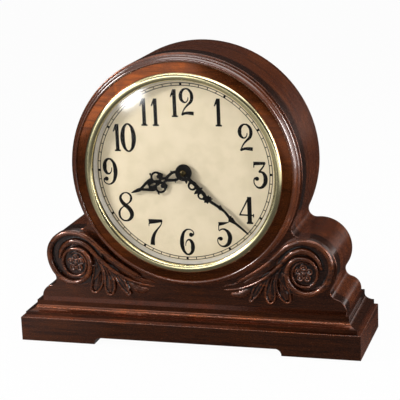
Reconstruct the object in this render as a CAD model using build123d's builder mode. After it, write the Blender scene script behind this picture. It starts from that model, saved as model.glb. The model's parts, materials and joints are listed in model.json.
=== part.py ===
"""Tambour mantel clock with carved scrolls, a brass bezel and a quartz chiming movement.

Millimetres, +Z up, the dial facing -Y. The origin is the middle of the clock's box, on the table.
Depths are measured back from the plinth's front face, heights up from the table.
"""

import os
from math import asin, atan2, cos, degrees, pi, radians, sin, sqrt

from build123d import *

os.makedirs("parts", exist_ok=True)

# Plinth
PLINTH_WIDTH = 324.0
CASE_DEPTH = 93.0
PLINTH_HEIGHT = 23.1
PLINTH_BOARD = 16.0
ARCH_HALF = 89.5
ARCH_HEIGHT = 6.3
ARCH_CORNER = 5.8
FELT_THICK = 1.0
FELT_R = 6.5
FELT_INSET = 10.0
BLOCK_SIZE = 14.0
EDGE_ROUND = 0.8

# Moulded board
MOULD_LEDGE = 3.8
MOULD_FOOT = 4.0
COVE_DEPTH = 8.8
COVE_HEIGHT = 5.4
MOULD_CAP = 4.0
BASE_SCREW_R = 2.0
BASE_SCREW_HEAD = 3.8
BASE_SCREW_GRIP = 12.0
BASE_SCREW_INSET = 16.0
BASE_SCREW_SETBACK = 9.0
BASE_SCREW_SPREAD = 14.0

# Case outline
FACE_SETBACK = 19.0
FRONT_BOARD = 16.0
DIAL_RISE = 127.5
FOOT_INSET = 3.1
FLARE_R = 11.8
FLARE_RISE = 1.5
SHOULDER_R = 28.8
SHOULDER_INSET = 36.9
SHOULDER_RISE = 41.0
NOTCH_ANGLE = 76.5
THROAT_ANGLE = -25.5
DRUM_WALL = 10.7
CHEST_INSET = 30.3
CHEST_HEIGHT = 56.5
APERTURE_R = 80.0

# Turned ring, bezel, glass and dial
RING_INSET = 1.7
RING_STEP = 1.7
RING_BEAD = 4.1
RING_FLAT = 8.7
BEZEL_R = 92.5
BEZEL_WIDTH = 7.3
BEZEL_OVERLAP = 2.5
BEZEL_RISE = 3.7
BEZEL_TUBE_WALL = 1.8
BEZEL_LIP = 2.4
BEZEL_EDGE = 0.8
LENS_THICK = 2.2
LENS_SAG = 9.0
GASKET_THICK = 1.0
GASKET_WIDTH = 2.3
REFLECTOR_WIDTH = 4.5
REFLECTOR_LIP = 0.6
DIAL_THICK = 1.2
LENS_CLEARANCE = 0.3
TIP_CLEARANCE = 3.5

# Hands
HAND_THICK = 0.5
HAND_GAP = 1.5
HOUR_RISE = 2.3
HOUR_LENGTH = 55.0
HOUR_HUB_R = 6.8
MINUTE_HUB_R = 6.0
HOUR_TURN = 248.0
MINUTE_TURN = 133.0
HAND_NUT_R = 3.2
HAND_NUT_RISE = 2.8
ARBOR_PROUD = 1.5
HAND_WIRE = 1.5
HAND_ROOT = 1.8
HOUR_LOOP_ACROSS = 5.0
HOUR_LOOP_ALONG = 26.2
HOUR_LOOP_R = 5.2
HOUR_SPIKE_HALF = 5.0
HOUR_SPIKE_ALONG = 10.0
HOUR_SPIKE_REACH = 3.0
HOUR_ARROW_HALF = 5.0
HOUR_ARROW_ALONG = 31.5
HOUR_ARROW_REACH = 13.0
NEAR_LOOP_ACROSS = 3.0
NEAR_LOOP_ALONG = 14.0
NEAR_LOOP_R = 3.8
FAR_LOOP_ACROSS = 3.7
FAR_LOOP_ALONG = 26.0
FAR_LOOP_R = 3.5
KNOT_HALF = 4.5
KNOT_ALONG = 32.0
KNOT_REACH = 3.0
BARB_HALF = 2.5
BARB_ALONG = 45.0
BARB_REACH = 4.0
ARROW_HALF = 3.0
ARROW_ALONG = 58.0
ARROW_REACH = 9.0

# Scrolls
EYE_R = 12.0
EYE_RING = 5.0
EYE_RISE = 10.0
EYE_FLOOR = 6.0
VOLUTE_BAND = 4.5
VOLUTE_EDGE = 1.8
VOLUTE_RISE = 8.5
VOLUTE_FLOOR = 5.0
LEAF_RISE = 4.5
LEAF_GAP = 1.0
LEAF_START = -73.0
LEAF_SWEEP = 31.0
RIB_WIDTH = 4.5
RIB_PITCH = 9.0
RIB_RISES = (8.0, 7.0)
LEAF_THUMB = (-57.0, -25.5)
LEAF_LOBES = (
    ((-49.0, -31.0), (-38.0, -27.0)),
    ((-27.0, -33.0), (-17.0, -27.5)),
    ((-12.0, -30.5), (-5.0, -26.5)),
)
PETAL_R = 4.0
PETAL_RING_R = 5.6
PETAL_COUNT = 5
PETAL_RISE = 10.5
BEAD_R = 3.0

# Back panel and door
BACK_THICK = 6.0
REBATE = 6.0
DOOR_WIDTH = 120.0
DOOR_HEIGHT = 109.0
DOOR_RISE = 2.0
DOOR_GAP = 0.5
PANEL_SCREW_R = 1.3
PANEL_SCREW_HEAD = 2.6
PANEL_SCREW_LENGTH = 12.0
PANEL_SCREW_BEARINGS = (-5.0, 40.0, 90.0, 140.0, 185.0)
PANEL_SCREW_RISES = (14.0, 44.0)
HINGE_PIN_R = 0.75
KNUCKLE_R = 2.1
HINGE_HEIGHT = 24.0
HINGE_LEAF = 10.0
HINGE_THICK = 1.0
HINGE_SPREAD = 70.0
HINGE_SCREW_R = 0.9
HINGE_SCREW_HEAD = 1.7
HINGE_SCREW_LENGTH = 4.5
KNOB_R = 5.0
KNOB_RISE = 9.0
KNOB_STEM_R = 2.0
KNOB_INSET = 11.0
CATCH_WIDTH = 14.0
CATCH_HEIGHT = 20.0
CATCH_DEPTH = 7.0
CATCH_REACH = 8.0
CATCH_PLATE = 0.8

# Movement
ARBOR_R = 1.6
PIPE_WALL = 0.9
BUSH_WALL = 1.3
BUSH_NUT_R = 6.2
BUSH_NUT_THICK = 1.6
BUSH_NUT_SIDES = 6
WASHER_THICK = 1.5
WASHER_R = 11.0
SHELL = 1.8
PLATE = 1.5
GEAR_FACE = 1.4
LEVEL_GAP = 1.0
PIVOT_R = 0.5
SETTING_R = 1.2
CENTRE_HUB_R = 3.0
CENTRE_HUB_RISE = 0.6
STATOR_POST_R = 1.5
MOVEMENT_CORNER = 3.0
SETTING_KNOB_R = 6.0
SETTING_KNOB_RISE = 5.0
BOSS_R = 3.0
BOSS_INSET = 7.0
POST_R = 1.8
MOVEMENT_SCREW_R = 1.2
MOVEMENT_SCREW_HEAD = 2.4
BRIDGE_SCREW_R = 0.8
BRIDGE_SCREW_HEAD = 1.6
SCREW_HEAD_THICK = 1.0
BRIDGE_MARGIN = 3.2
BRIDGE_POST_INSET = 3.0
BRIDGE_HEADROOM = 1.5
ROTOR_MAGNET_R = 3.0
ROTOR_AIR_GAP = 0.4
STATOR_RIM = 2.4
STATOR_ARM = 4.0
STATOR_HALF = 9.5
CORE_WIDTH = 3.0
COIL_WIDTH = 9.0
COIL_THICK = 4.6
BOARD_THICK = 1.6
BOARD_MARGIN = 1.0
BOARD_LOW = 5.0
BOARD_PEG_R = 1.0
BOARD_POST_R = 2.0
BOARD_PEG_INSET = 4.0
CHIP_SIZE = 9.0
CHIP_THICK = 1.0
CHIP_PITCH = 17.0
CHIP_HEIGHT = 12.0
SLIDER_PITCH = 16.0
SLIDER_HEIGHT = 22.0
SLIDER_TAB = 3.5
SLIDER_BASE = 7.0
SLIDER_RISE = 2.5
SELECTOR_TRAVEL = 3.0
CELL_R = 7.1
CELL_LENGTH = 49.0
CELL_GAP = 0.4
CELL_NUB_R = 2.75
CELL_NUB_RISE = 1.5
BAY_TOP = -5.8
CONTACT_THICK = 0.5
CONTACT_SIZE = 10.0

# Gear train: teeth and modules
CANNON_TEETH = 12
MINUTE_WHEEL_TEETH = 36
MINUTE_PINION_TEETH = 10
HOUR_WHEEL_TEETH = 40
MOTION_MODULE = 0.6
CENTRE_TEETH = 64
THIRD_PINION_TEETH = 8
CENTRE_MODULE = 0.35
THIRD_TEETH = 60
FOURTH_PINION_TEETH = 8
THIRD_MODULE = 0.3
FOURTH_TEETH = 50
INTERMEDIATE_PINION_TEETH = 10
FOURTH_MODULE = 0.3
INTERMEDIATE_TEETH = 60
ROTOR_PINION_TEETH = 10
ROTOR_MODULE = 0.25
THIRD_BEARING = 150.0
FOURTH_BEARING = 90.0
INTERMEDIATE_BEARING = 20.0
ROTOR_BEARING = -10.0
TOOTH_TIP = 0.8
TOOTH_ROOT = 1.05
TIP_SHARE = 0.1
ROOT_SHARE = 0.25

# Loudspeaker
SPEAKER_R = 28.5
SPEAKER_RISE = 6.0
SPEAKER_FLANGE = 2.0
SPEAKER_RIM = 3.5
SPEAKER_DEPTH = 16.0
SPEAKER_THROAT_R = 14.0
SPEAKER_SHEET = 1.2
MAGNET_R = 15.0
MAGNET_THICK = 8.0
CONE_SHEET = 0.6
CONE_CLEARANCE = 3.0
CONE_THROAT_R = 6.0
SOUND_HOLE_R = 2.0
SOUND_HOLE_PITCH = 7.5
SOUND_HOLES = 6
SOUND_RINGS = (1, 2)
SPEAKER_SCREW_R = 1.1
SPEAKER_SCREW_GRIP = 4.0
SPEAKER_SCREW_HEAD = 1.6
TAB_WIDTH = 8.0
TAB_RISE = 6.0
TAB_ROOT = 2.0
LEAD_R = 1.2
LEAD_BEND = 6.0
LEAD_RUN = 10.0
LEAD_SIDE = 9.0
LEAD_CLIMB = 9.0
LEAD_HEIGHT = 10.0

# Fits
RUNNING = 0.06
SEAT = 0.3

# Heights and depths that follow from the sizes above
PLINTH_TOP = FELT_THICK + PLINTH_HEIGHT
BOARD_TOP = PLINTH_TOP + MOULD_FOOT + COVE_HEIGHT + MOULD_CAP
DIAL_Z = BOARD_TOP + DIAL_RISE
FRONT_Y = -(CASE_DEPTH + KNOB_RISE) / 2
BACK_Y = FRONT_Y + CASE_DEPTH
PLINTH_HALF = PLINTH_WIDTH / 2
MOULD_HALF = PLINTH_HALF - MOULD_LEDGE
CAP_HALF = MOULD_HALF - COVE_DEPTH
FOOT_HALF = CAP_HALF - FOOT_INSET
WRAP_FRONT = FACE_SETBACK + FRONT_BOARD
PANEL_FRONT = CASE_DEPTH - BACK_THICK
BEAD_IN = BEZEL_R + RING_FLAT
BEAD_OUT = BEAD_IN + RING_BEAD
RING_R = BEAD_OUT + RING_STEP
DRUM_R = RING_R + RING_INSET
DRUM_BORE = DRUM_R - DRUM_WALL
CHEST_HALF = FOOT_HALF - CHEST_INSET

DIAL_FACE = FACE_SETBACK - DIAL_THICK
HOUR_BACK = DIAL_FACE - HOUR_RISE
HOUR_FRONT = HOUR_BACK - HAND_THICK
MINUTE_BACK = HOUR_FRONT - HAND_GAP
MINUTE_FRONT = MINUTE_BACK - HAND_THICK
LENS_BACK = MINUTE_FRONT - LENS_CLEARANCE
RING_FACE = LENS_BACK - LENS_THICK
BEZEL_FACE = RING_FACE - BEZEL_RISE
GASKET_BACK = LENS_BACK + GASKET_THICK

RING_BORE = BEZEL_R - BEZEL_OVERLAP
SIGHT_R = BEZEL_R - BEZEL_WIDTH
TUBE_R = RING_BORE - RUNNING
TUBE_BORE = TUBE_R - BEZEL_TUBE_WALL
LENS_R = TUBE_BORE - SEAT
DOME_R = SIGHT_R - SEAT
REFLECTOR_R = LENS_R - REFLECTOR_WIDTH
DIAL_R = RING_BORE - SEAT
MINUTE_LENGTH = REFLECTOR_R - TIP_CLEARANCE

PIPE_BORE = ARBOR_R + RUNNING
PIPE_R = PIPE_BORE + PIPE_WALL
BUSH_BORE = PIPE_R + RUNNING
BUSH_R = BUSH_BORE + BUSH_WALL
MOVEMENT_FRONT = FACE_SETBACK + WASHER_THICK
SHELL_FLOOR = MOVEMENT_FRONT + SHELL
HOUR_LEVEL = SHELL_FLOOR + LEVEL_GAP
MINUTE_LEVEL = HOUR_LEVEL + GEAR_FACE + LEVEL_GAP
PLATE_FRONT = MINUTE_LEVEL + GEAR_FACE + LEVEL_GAP
PLATE_BACK = PLATE_FRONT + PLATE
CENTRE_LEVEL = PLATE_BACK + LEVEL_GAP
THIRD_LEVEL = CENTRE_LEVEL + GEAR_FACE + LEVEL_GAP
FOURTH_LEVEL = THIRD_LEVEL + GEAR_FACE + LEVEL_GAP
INTERMEDIATE_LEVEL = FOURTH_LEVEL + GEAR_FACE + LEVEL_GAP
MAGNET_LEVEL = INTERMEDIATE_LEVEL + GEAR_FACE + LEVEL_GAP
STATOR_MIDDLE = MAGNET_LEVEL + GEAR_FACE / 2
BRIDGE_FRONT = STATOR_MIDDLE + COIL_THICK / 2 + LEVEL_GAP
BRIDGE_BACK = BRIDGE_FRONT + PLATE
CHIP_FRONT = BRIDGE_BACK + SCREW_HEAD_THICK + LEVEL_GAP
BOARD_FRONT = CHIP_FRONT + CHIP_THICK
BOARD_BACK = BOARD_FRONT + BOARD_THICK
SLIDER_FRONT = BOARD_BACK + SEAT
SLIDER_BACK = SLIDER_FRONT + PLATE
SHELL_BACK = SLIDER_BACK + SEAT
MOVEMENT_BACK = SHELL_BACK + SHELL
SHELL_SPLIT = (PLATE_BACK + BRIDGE_FRONT) / 2
BAY_BOTTOM = BAY_TOP - 4 * CELL_R - 3 * CELL_GAP
BAY_FLOOR = MOVEMENT_BACK - 2 * CELL_R - 2 * CELL_GAP
BAY_HALF = (CELL_LENGTH + CELL_NUB_RISE) / 2 + CONTACT_THICK
MOVEMENT_HALF = 2 * SHELL - BAY_BOTTOM
CAVITY_HALF = MOVEMENT_HALF - SHELL
BOSS_AT = MOVEMENT_HALF - BOSS_INSET
BRIDGE_LOW = BAY_TOP + SHELL + SEAT
BRIDGE_HIGH = BOSS_AT - BOSS_R - BRIDGE_HEADROOM
BRIDGE_HALF = CAVITY_HALF - BRIDGE_MARGIN
BRIDGE_POST_X = BRIDGE_HALF - BRIDGE_POST_INSET
BRIDGE_POSTS = [
    (x * BRIDGE_POST_X, y)
    for x in (-1, 1)
    for y in (BRIDGE_LOW + BRIDGE_POST_INSET, BRIDGE_HIGH - BRIDGE_POST_INSET)
]
CORE_X = BRIDGE_POST_X - POST_R - LEVEL_GAP - COIL_WIDTH / 2
COIL_LENGTH = 2 * (STATOR_HALF - STATOR_ARM - SEAT)
BOARD_HALF = BOSS_AT - BOSS_R - BOARD_MARGIN
BOARD_HIGH = CAVITY_HALF - BOARD_MARGIN
BOARD_PEGS = [
    (x * (BOARD_HALF - BOARD_PEG_INSET), y)
    for x in (-1, 1)
    for y in (BOARD_LOW + BOARD_PEG_INSET, BOARD_HIGH - BOARD_PEG_INSET)
]

SPEAKER_Z = BOARD_TOP + SPEAKER_RISE + SPEAKER_R
SPEAKER_FACE = PANEL_FRONT - SPEAKER_FLANGE
DOOR_Z = DIAL_Z + DOOR_RISE
HINGE_X = DOOR_WIDTH / 2 + DOOR_GAP / 2
HINGE_Y = BACK_Y + KNUCKLE_R + RUNNING
CORNERS = ((-1, -1), (1, -1), (1, 1), (-1, 1))
HALF_TURN = 180.0
QUARTER_TURN = 90.0
LOW = (Align.CENTER, Align.CENTER, Align.MIN)
HIGH = (Align.CENTER, Align.CENTER, Align.MAX)


def front_plane(depth):
    """Upright plane facing the front; its x is the clock's X and its y the clock's Z."""
    return Plane(origin=(0, FRONT_Y + depth, 0), x_dir=(1, 0, 0), z_dir=(0, -1, 0))


def dial_plane(depth, across=0.0, up=0.0, turn=0.0):
    """Plane facing the front at a place measured from the dial's centre, turned clockwise."""
    angle = radians(turn)
    return Plane(
        origin=(across, FRONT_Y + depth, DIAL_Z + up),
        x_dir=(cos(angle), 0, -sin(angle)),
        z_dir=(0, -1, 0),
    )


def rear_plane(depth, across, height):
    """Plane facing the back at a place on the clock."""
    return Plane(origin=(across, FRONT_Y + depth, height), x_dir=(-1, 0, 0), z_dir=(0, 1, 0))


def turning_plane(height):
    """Plane in which a piece turned about a front-to-back axis is drawn: radius, then depth."""
    return Plane(origin=(0, FRONT_Y, height))


def turning_axis(height):
    """Front-to-back axis at a height."""
    return Axis((0, FRONT_Y, height), (0, 1, 0))


def save(builder, name):
    """Label a finished piece and write it."""
    builder.part.label = name
    export_step(builder.part, f"parts/{name}.step")


def tangent_circle(centre, radius, bearing, other, other_radius):
    """Circle outside two others, touching the first at a bearing: its centre and its radius."""
    towards = Vector(cos(radians(bearing)), sin(radians(bearing)))
    reach = Vector(centre) + towards * radius - Vector(other)
    size = (reach.dot(reach) - other_radius**2) / (2 * (other_radius - reach.dot(towards)))
    return Vector(centre) + towards * (radius + size), size


def bearing_between(start, end):
    """Direction from one point to another, in degrees."""
    way = Vector(end) - Vector(start)
    return degrees(atan2(way.Y, way.X))


# Plinth: four mitred boards with glue blocks in the corners and felt feet
OUTER = [(PLINTH_HALF * x, FRONT_Y if y < 0 else BACK_Y) for x, y in CORNERS]
INNER = [
    ((PLINTH_HALF - PLINTH_BOARD) * x, FRONT_Y + PLINTH_BOARD if y < 0 else BACK_Y - PLINTH_BOARD)
    for x, y in CORNERS
]


def mitred_board(side):
    """One plinth board, between two corners of the frame."""
    after = (side + 1) % len(CORNERS)
    with BuildPart() as board:
        with BuildSketch(Plane.XY.offset(FELT_THICK)):
            with BuildLine():
                Polyline(OUTER[side], OUTER[after], INNER[after], INNER[side], close=True)
            make_face()
        extrude(amount=PLINTH_HEIGHT)
        top = board.edges().group_by(Axis.Z)[-1]
        fillet(top.sort_by(SortBy.LENGTH)[-1], EDGE_ROUND)
    return board.part


with BuildPart() as plinth_front:
    add(mitred_board(0))
    with BuildSketch(front_plane(PLINTH_BOARD)):
        with Locations((0, FELT_THICK)):
            RectangleRounded(2 * ARCH_HALF, 2 * ARCH_HEIGHT, ARCH_CORNER)
    extrude(amount=PLINTH_BOARD, mode=Mode.SUBTRACT)
save(plinth_front, "plinth_front")

for side, name in ((1, "plinth_right"), (2, "plinth_back"), (3, "plinth_left")):
    with BuildPart() as plinth_board:
        add(mitred_board(side))
    save(plinth_board, name)

with BuildPart() as glue_blocks:
    for (x, y), corner in zip(CORNERS, INNER):
        toward = (Align.MAX if x > 0 else Align.MIN, Align.MAX if y > 0 else Align.MIN, Align.MAX)
        with Locations((*corner, PLINTH_TOP)):
            Box(BLOCK_SIZE, BLOCK_SIZE, PLINTH_HEIGHT - ARCH_HEIGHT, align=toward)
save(glue_blocks, "glue_blocks")

with BuildPart() as felt_feet:
    for (x, y), (corner_x, corner_y) in zip(CORNERS, OUTER):
        with Locations((corner_x - x * FELT_INSET, corner_y - y * FELT_INSET)):
            Cylinder(FELT_R, FELT_THICK, align=LOW)
save(felt_feet, "felt_feet")

# Moulded board: a cove on the front and both ends, flat at the back
COVE_LOW = PLINTH_TOP + MOULD_FOOT
COVE_TOP = COVE_LOW + COVE_HEIGHT
MOULD_Y = FRONT_Y + MOULD_LEDGE
BASE_SCREW_X = FOOT_HALF - BASE_SCREW_INSET
BASE_SCREW_FIRST = WRAP_FRONT + BASE_SCREW_SETBACK
BASE_SCREW_DEPTHS = (BASE_SCREW_FIRST, BASE_SCREW_FIRST + BASE_SCREW_SPREAD)
BASE_SCREW_PLACES = [(x * BASE_SCREW_X, FRONT_Y + depth) for x in (-1, 1) for depth in BASE_SCREW_DEPTHS]

with BuildPart() as moulded_board:
    with BuildSketch(Plane.YZ):
        with BuildLine():
            Polyline((MOULD_Y, COVE_LOW), (MOULD_Y, PLINTH_TOP), (BACK_Y, PLINTH_TOP), (BACK_Y, BOARD_TOP))
            Polyline((BACK_Y, BOARD_TOP), (MOULD_Y + COVE_DEPTH, BOARD_TOP), (MOULD_Y + COVE_DEPTH, COVE_TOP))
            EllipticalCenterArc((MOULD_Y, COVE_TOP), COVE_DEPTH, COVE_HEIGHT, start_angle=-QUARTER_TURN)
        make_face()
    extrude(amount=PLINTH_HALF, both=True)
    with BuildSketch(front_plane(CASE_DEPTH)):
        with BuildLine():
            Polyline((0, PLINTH_TOP), (MOULD_HALF, PLINTH_TOP), (MOULD_HALF, COVE_LOW))
            EllipticalCenterArc((MOULD_HALF, COVE_TOP), COVE_DEPTH, COVE_HEIGHT, start_angle=HALF_TURN)
            Polyline((CAP_HALF, COVE_TOP), (CAP_HALF, BOARD_TOP), (0, BOARD_TOP))
            mirror(about=Plane.YZ)
        make_face()
    extrude(amount=CASE_DEPTH, mode=Mode.INTERSECT)
    with Locations(*[(x, y, PLINTH_TOP) for x, y in BASE_SCREW_PLACES]):
        Cylinder(BASE_SCREW_HEAD + SEAT, BASE_SCREW_R, align=LOW, mode=Mode.SUBTRACT)
        Cylinder(BASE_SCREW_R + RUNNING, BOARD_TOP - PLINTH_TOP, align=LOW, mode=Mode.SUBTRACT)
save(moulded_board, "moulded_board")

with BuildPart() as base_screws:
    with Locations(*[(x, y, PLINTH_TOP) for x, y in BASE_SCREW_PLACES]):
        Cylinder(BASE_SCREW_HEAD, BASE_SCREW_R, align=LOW)
        Cylinder(BASE_SCREW_R, BOARD_TOP - PLINTH_TOP + BASE_SCREW_GRIP, align=LOW)
save(base_screws, "base_screws")

# Case outline: flared foot, notch, round shoulder, throat and drum
DRUM_CENTRE = (0, DIAL_Z)
FLARE_CENTRE = (FOOT_HALF - FLARE_R, BOARD_TOP + FLARE_RISE)
SHOULDER_CENTRE = (FOOT_HALF - SHOULDER_INSET, BOARD_TOP + SHOULDER_RISE)
NOTCH_CENTRE, NOTCH_R = tangent_circle(FLARE_CENTRE, FLARE_R, NOTCH_ANGLE, SHOULDER_CENTRE, SHOULDER_R)
THROAT_CENTRE, THROAT_R = tangent_circle(DRUM_CENTRE, DRUM_R, THROAT_ANGLE, SHOULDER_CENTRE, SHOULDER_R)
SHOULDER_START = bearing_between(SHOULDER_CENTRE, NOTCH_CENTRE)
SHOULDER_END = bearing_between(SHOULDER_CENTRE, THROAT_CENTRE)
NOTCH_END = bearing_between(NOTCH_CENTRE, SHOULDER_CENTRE)
THROAT_END = bearing_between(THROAT_CENTRE, DRUM_CENTRE)

PANEL_SCREW_RING = DRUM_BORE + REBATE / 2
PANEL_SCREW_SIDE = CHEST_HALF + REBATE / 2
PANEL_SCREW_PLACES = [
    (PANEL_SCREW_RING * cos(radians(bearing)), DIAL_Z + PANEL_SCREW_RING * sin(radians(bearing)))
    for bearing in PANEL_SCREW_BEARINGS
] + [(side * PANEL_SCREW_SIDE, BOARD_TOP + rise) for side in (-1, 1) for rise in PANEL_SCREW_RISES]

with BuildSketch() as case_outline:
    with BuildLine():
        Polyline((0, DIAL_Z + DRUM_R), (0, BOARD_TOP), (FOOT_HALF, BOARD_TOP), (FOOT_HALF, FLARE_CENTRE[1]))
        CenterArc(FLARE_CENTRE, FLARE_R, 0, NOTCH_ANGLE)
        CenterArc(NOTCH_CENTRE, NOTCH_R, NOTCH_ANGLE + HALF_TURN, NOTCH_END - NOTCH_ANGLE - HALF_TURN)
        CenterArc(SHOULDER_CENTRE, SHOULDER_R, SHOULDER_START, SHOULDER_END - SHOULDER_START)
        CenterArc(THROAT_CENTRE, THROAT_R, SHOULDER_END + HALF_TURN, THROAT_END - SHOULDER_END - HALF_TURN)
        CenterArc(DRUM_CENTRE, DRUM_R, THROAT_ANGLE, QUARTER_TURN - THROAT_ANGLE)
    make_face()
    mirror(about=Plane.YZ)

with BuildPart() as case_front:
    with BuildSketch(front_plane(WRAP_FRONT)):
        add(case_outline.sketch)
        with Locations(DRUM_CENTRE):
            Circle(APERTURE_R, mode=Mode.SUBTRACT)
    extrude(amount=FRONT_BOARD)
    face = case_front.faces().sort_by(Axis.Y)[0]
    fillet(face.outer_wire().edges().sort_by(Axis.Z)[1:], EDGE_ROUND)
save(case_front, "case_front")

with BuildPart() as case_wrap:
    with BuildSketch(front_plane(CASE_DEPTH)):
        add(case_outline.sketch)
    extrude(amount=CASE_DEPTH - WRAP_FRONT)
    for margin, deep in ((0, CASE_DEPTH - WRAP_FRONT), (REBATE, BACK_THICK)):
        with BuildSketch(front_plane(CASE_DEPTH)):
            with Locations(DRUM_CENTRE):
                Circle(DRUM_BORE + margin)
            with Locations((0, BOARD_TOP)):
                Rectangle(2 * (CHEST_HALF + margin), 2 * (CHEST_HEIGHT + margin))
        extrude(amount=deep, mode=Mode.SUBTRACT)
    with Locations(*[(x, y, BOARD_TOP) for x, y in BASE_SCREW_PLACES]):
        Cylinder(BASE_SCREW_R + RUNNING, BASE_SCREW_GRIP + SEAT, align=LOW, mode=Mode.SUBTRACT)
    with Locations(*[rear_plane(CASE_DEPTH, *place) for place in PANEL_SCREW_PLACES]):
        Cylinder(PANEL_SCREW_R + RUNNING, PANEL_SCREW_LENGTH + SEAT, align=HIGH, mode=Mode.SUBTRACT)
save(case_wrap, "case_wrap")

# Turned ring round the drum's front, with a rounded edge, a step and a bead
STEP_FACE = FACE_SETBACK - 2 * RING_STEP
with BuildPart() as drum_ring:
    with BuildSketch(turning_plane(DIAL_Z)):
        with BuildLine():
            Polyline((RING_BORE, RING_FACE), (RING_BORE, FACE_SETBACK), (RING_R, FACE_SETBACK),
                     (RING_R, STEP_FACE + RING_STEP))
            CenterArc((BEAD_OUT, STEP_FACE + RING_STEP), RING_STEP, 0, -QUARTER_TURN)
            EllipticalCenterArc((BEAD_IN, STEP_FACE), RING_BEAD, STEP_FACE - RING_FACE - SEAT,
                                start_angle=-QUARTER_TURN)
            Polyline((BEAD_IN, RING_FACE + SEAT), (BEAD_IN, RING_FACE + RING_STEP), (BEZEL_R, RING_FACE),
                     (RING_BORE, RING_FACE))
        make_face()
    revolve(axis=turning_axis(DIAL_Z))
save(drum_ring, "drum_ring")

# Bezel, glass, gasket, reflector ring and dial
TUBE_BACK = DIAL_FACE - SEAT
with BuildPart() as bezel:
    with BuildSketch(turning_plane(DIAL_Z)):
        with BuildLine():
            Polyline((BEZEL_R, RING_FACE - BEZEL_EDGE), (BEZEL_R, RING_FACE), (TUBE_R, RING_FACE),
                     (TUBE_R, TUBE_BACK), (TUBE_BORE, TUBE_BACK), (TUBE_BORE, RING_FACE),
                     (SIGHT_R, RING_FACE), (SIGHT_R, BEZEL_FACE + BEZEL_LIP))
            ThreePointArc((SIGHT_R, BEZEL_FACE + BEZEL_LIP), ((SIGHT_R + BEZEL_R) / 2, BEZEL_FACE),
                          (BEZEL_R, RING_FACE - BEZEL_EDGE))
        make_face()
    revolve(axis=turning_axis(DIAL_Z))
save(bezel, "bezel")

LENS_APEX = RING_FACE - LENS_SAG
LENS_SPHERE = (DOME_R**2 + LENS_SAG**2) / (2 * LENS_SAG)
LENS_CENTRE = LENS_APEX + LENS_SPHERE
HOLLOW_SPHERE = LENS_SPHERE - LENS_THICK
HOLLOW_R = sqrt(HOLLOW_SPHERE**2 - (LENS_CENTRE - LENS_BACK) ** 2)
with BuildPart() as lens:
    with BuildSketch(turning_plane(DIAL_Z)):
        with BuildLine():
            CenterArc((0, LENS_CENTRE), LENS_SPHERE, -QUARTER_TURN, degrees(asin(DOME_R / LENS_SPHERE)))
            Polyline((DOME_R, RING_FACE), (LENS_R, RING_FACE), (LENS_R, LENS_BACK), (HOLLOW_R, LENS_BACK))
            CenterArc((0, LENS_CENTRE), HOLLOW_SPHERE, -QUARTER_TURN, degrees(asin(HOLLOW_R / HOLLOW_SPHERE)))
            Line((0, LENS_APEX), (0, LENS_APEX + LENS_THICK))
        make_face()
    revolve(axis=turning_axis(DIAL_Z))
save(lens, "lens")

with BuildPart() as lens_gasket:
    with Locations(dial_plane(GASKET_BACK)):
        Cylinder(LENS_R, GASKET_THICK, align=LOW)
        Cylinder(LENS_R - GASKET_WIDTH, GASKET_THICK, align=LOW, mode=Mode.SUBTRACT)
save(lens_gasket, "lens_gasket")

with BuildPart() as reflector_ring:
    with BuildSketch(turning_plane(DIAL_Z)):
        with BuildLine():
            Polyline((LENS_R, GASKET_BACK), (LENS_R, DIAL_FACE), (REFLECTOR_R, DIAL_FACE),
                     (REFLECTOR_R, DIAL_FACE - REFLECTOR_LIP), (LENS_R - GASKET_WIDTH, GASKET_BACK), close=True)
        make_face()
    revolve(axis=turning_axis(DIAL_Z))
save(reflector_ring, "reflector_ring")

with BuildPart() as dial_plate:
    with Locations(dial_plane(FACE_SETBACK)):
        Cylinder(DIAL_R, DIAL_THICK, align=LOW)
        Cylinder(BUSH_R + RUNNING, DIAL_THICK, align=LOW, mode=Mode.SUBTRACT)
save(dial_plate, "dial_plate")


def pierced_hand(depth, turn, length, hub_r, bore, loops, barbs):
    """Flat hand: a tapered blade with open loops beside it and barbs along it."""
    with BuildPart() as hand:
        with BuildSketch(dial_plane(depth, turn=turn)):
            Polygon((-HAND_ROOT, 0), (HAND_ROOT, 0), (0, length), align=None)
            for half, along, reach in barbs:
                Polygon((-half, along), (half, along), (0, along + reach), align=None)
            for across, along, radius in loops:
                with Locations((across, along)):
                    Circle(radius)
                    Circle(radius - HAND_WIRE, mode=Mode.SUBTRACT)
            Circle(hub_r)
            Circle(bore, mode=Mode.SUBTRACT)
        extrude(amount=HAND_THICK)
    return hand


HOUR_LOOPS = ((-HOUR_LOOP_ACROSS, HOUR_LOOP_ALONG, HOUR_LOOP_R),
              (HOUR_LOOP_ACROSS, HOUR_LOOP_ALONG, HOUR_LOOP_R))
HOUR_BARBS = ((HOUR_SPIKE_HALF, HOUR_SPIKE_ALONG, HOUR_SPIKE_REACH),
              (HOUR_ARROW_HALF, HOUR_ARROW_ALONG, HOUR_ARROW_REACH))
MINUTE_LOOPS = ((NEAR_LOOP_ACROSS, NEAR_LOOP_ALONG, NEAR_LOOP_R),
                (FAR_LOOP_ACROSS, FAR_LOOP_ALONG, FAR_LOOP_R))
MINUTE_BARBS = ((KNOT_HALF, KNOT_ALONG, KNOT_REACH), (BARB_HALF, BARB_ALONG, BARB_REACH),
                (ARROW_HALF, ARROW_ALONG, ARROW_REACH))
hour_hand = pierced_hand(HOUR_BACK, HOUR_TURN, HOUR_LENGTH, HOUR_HUB_R, PIPE_R + RUNNING,
                         HOUR_LOOPS, HOUR_BARBS)
save(hour_hand, "hour_hand")
minute_hand = pierced_hand(MINUTE_BACK, MINUTE_TURN, MINUTE_LENGTH, MINUTE_HUB_R, ARBOR_R + RUNNING,
                           MINUTE_LOOPS, MINUTE_BARBS)
save(minute_hand, "minute_hand")

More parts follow.
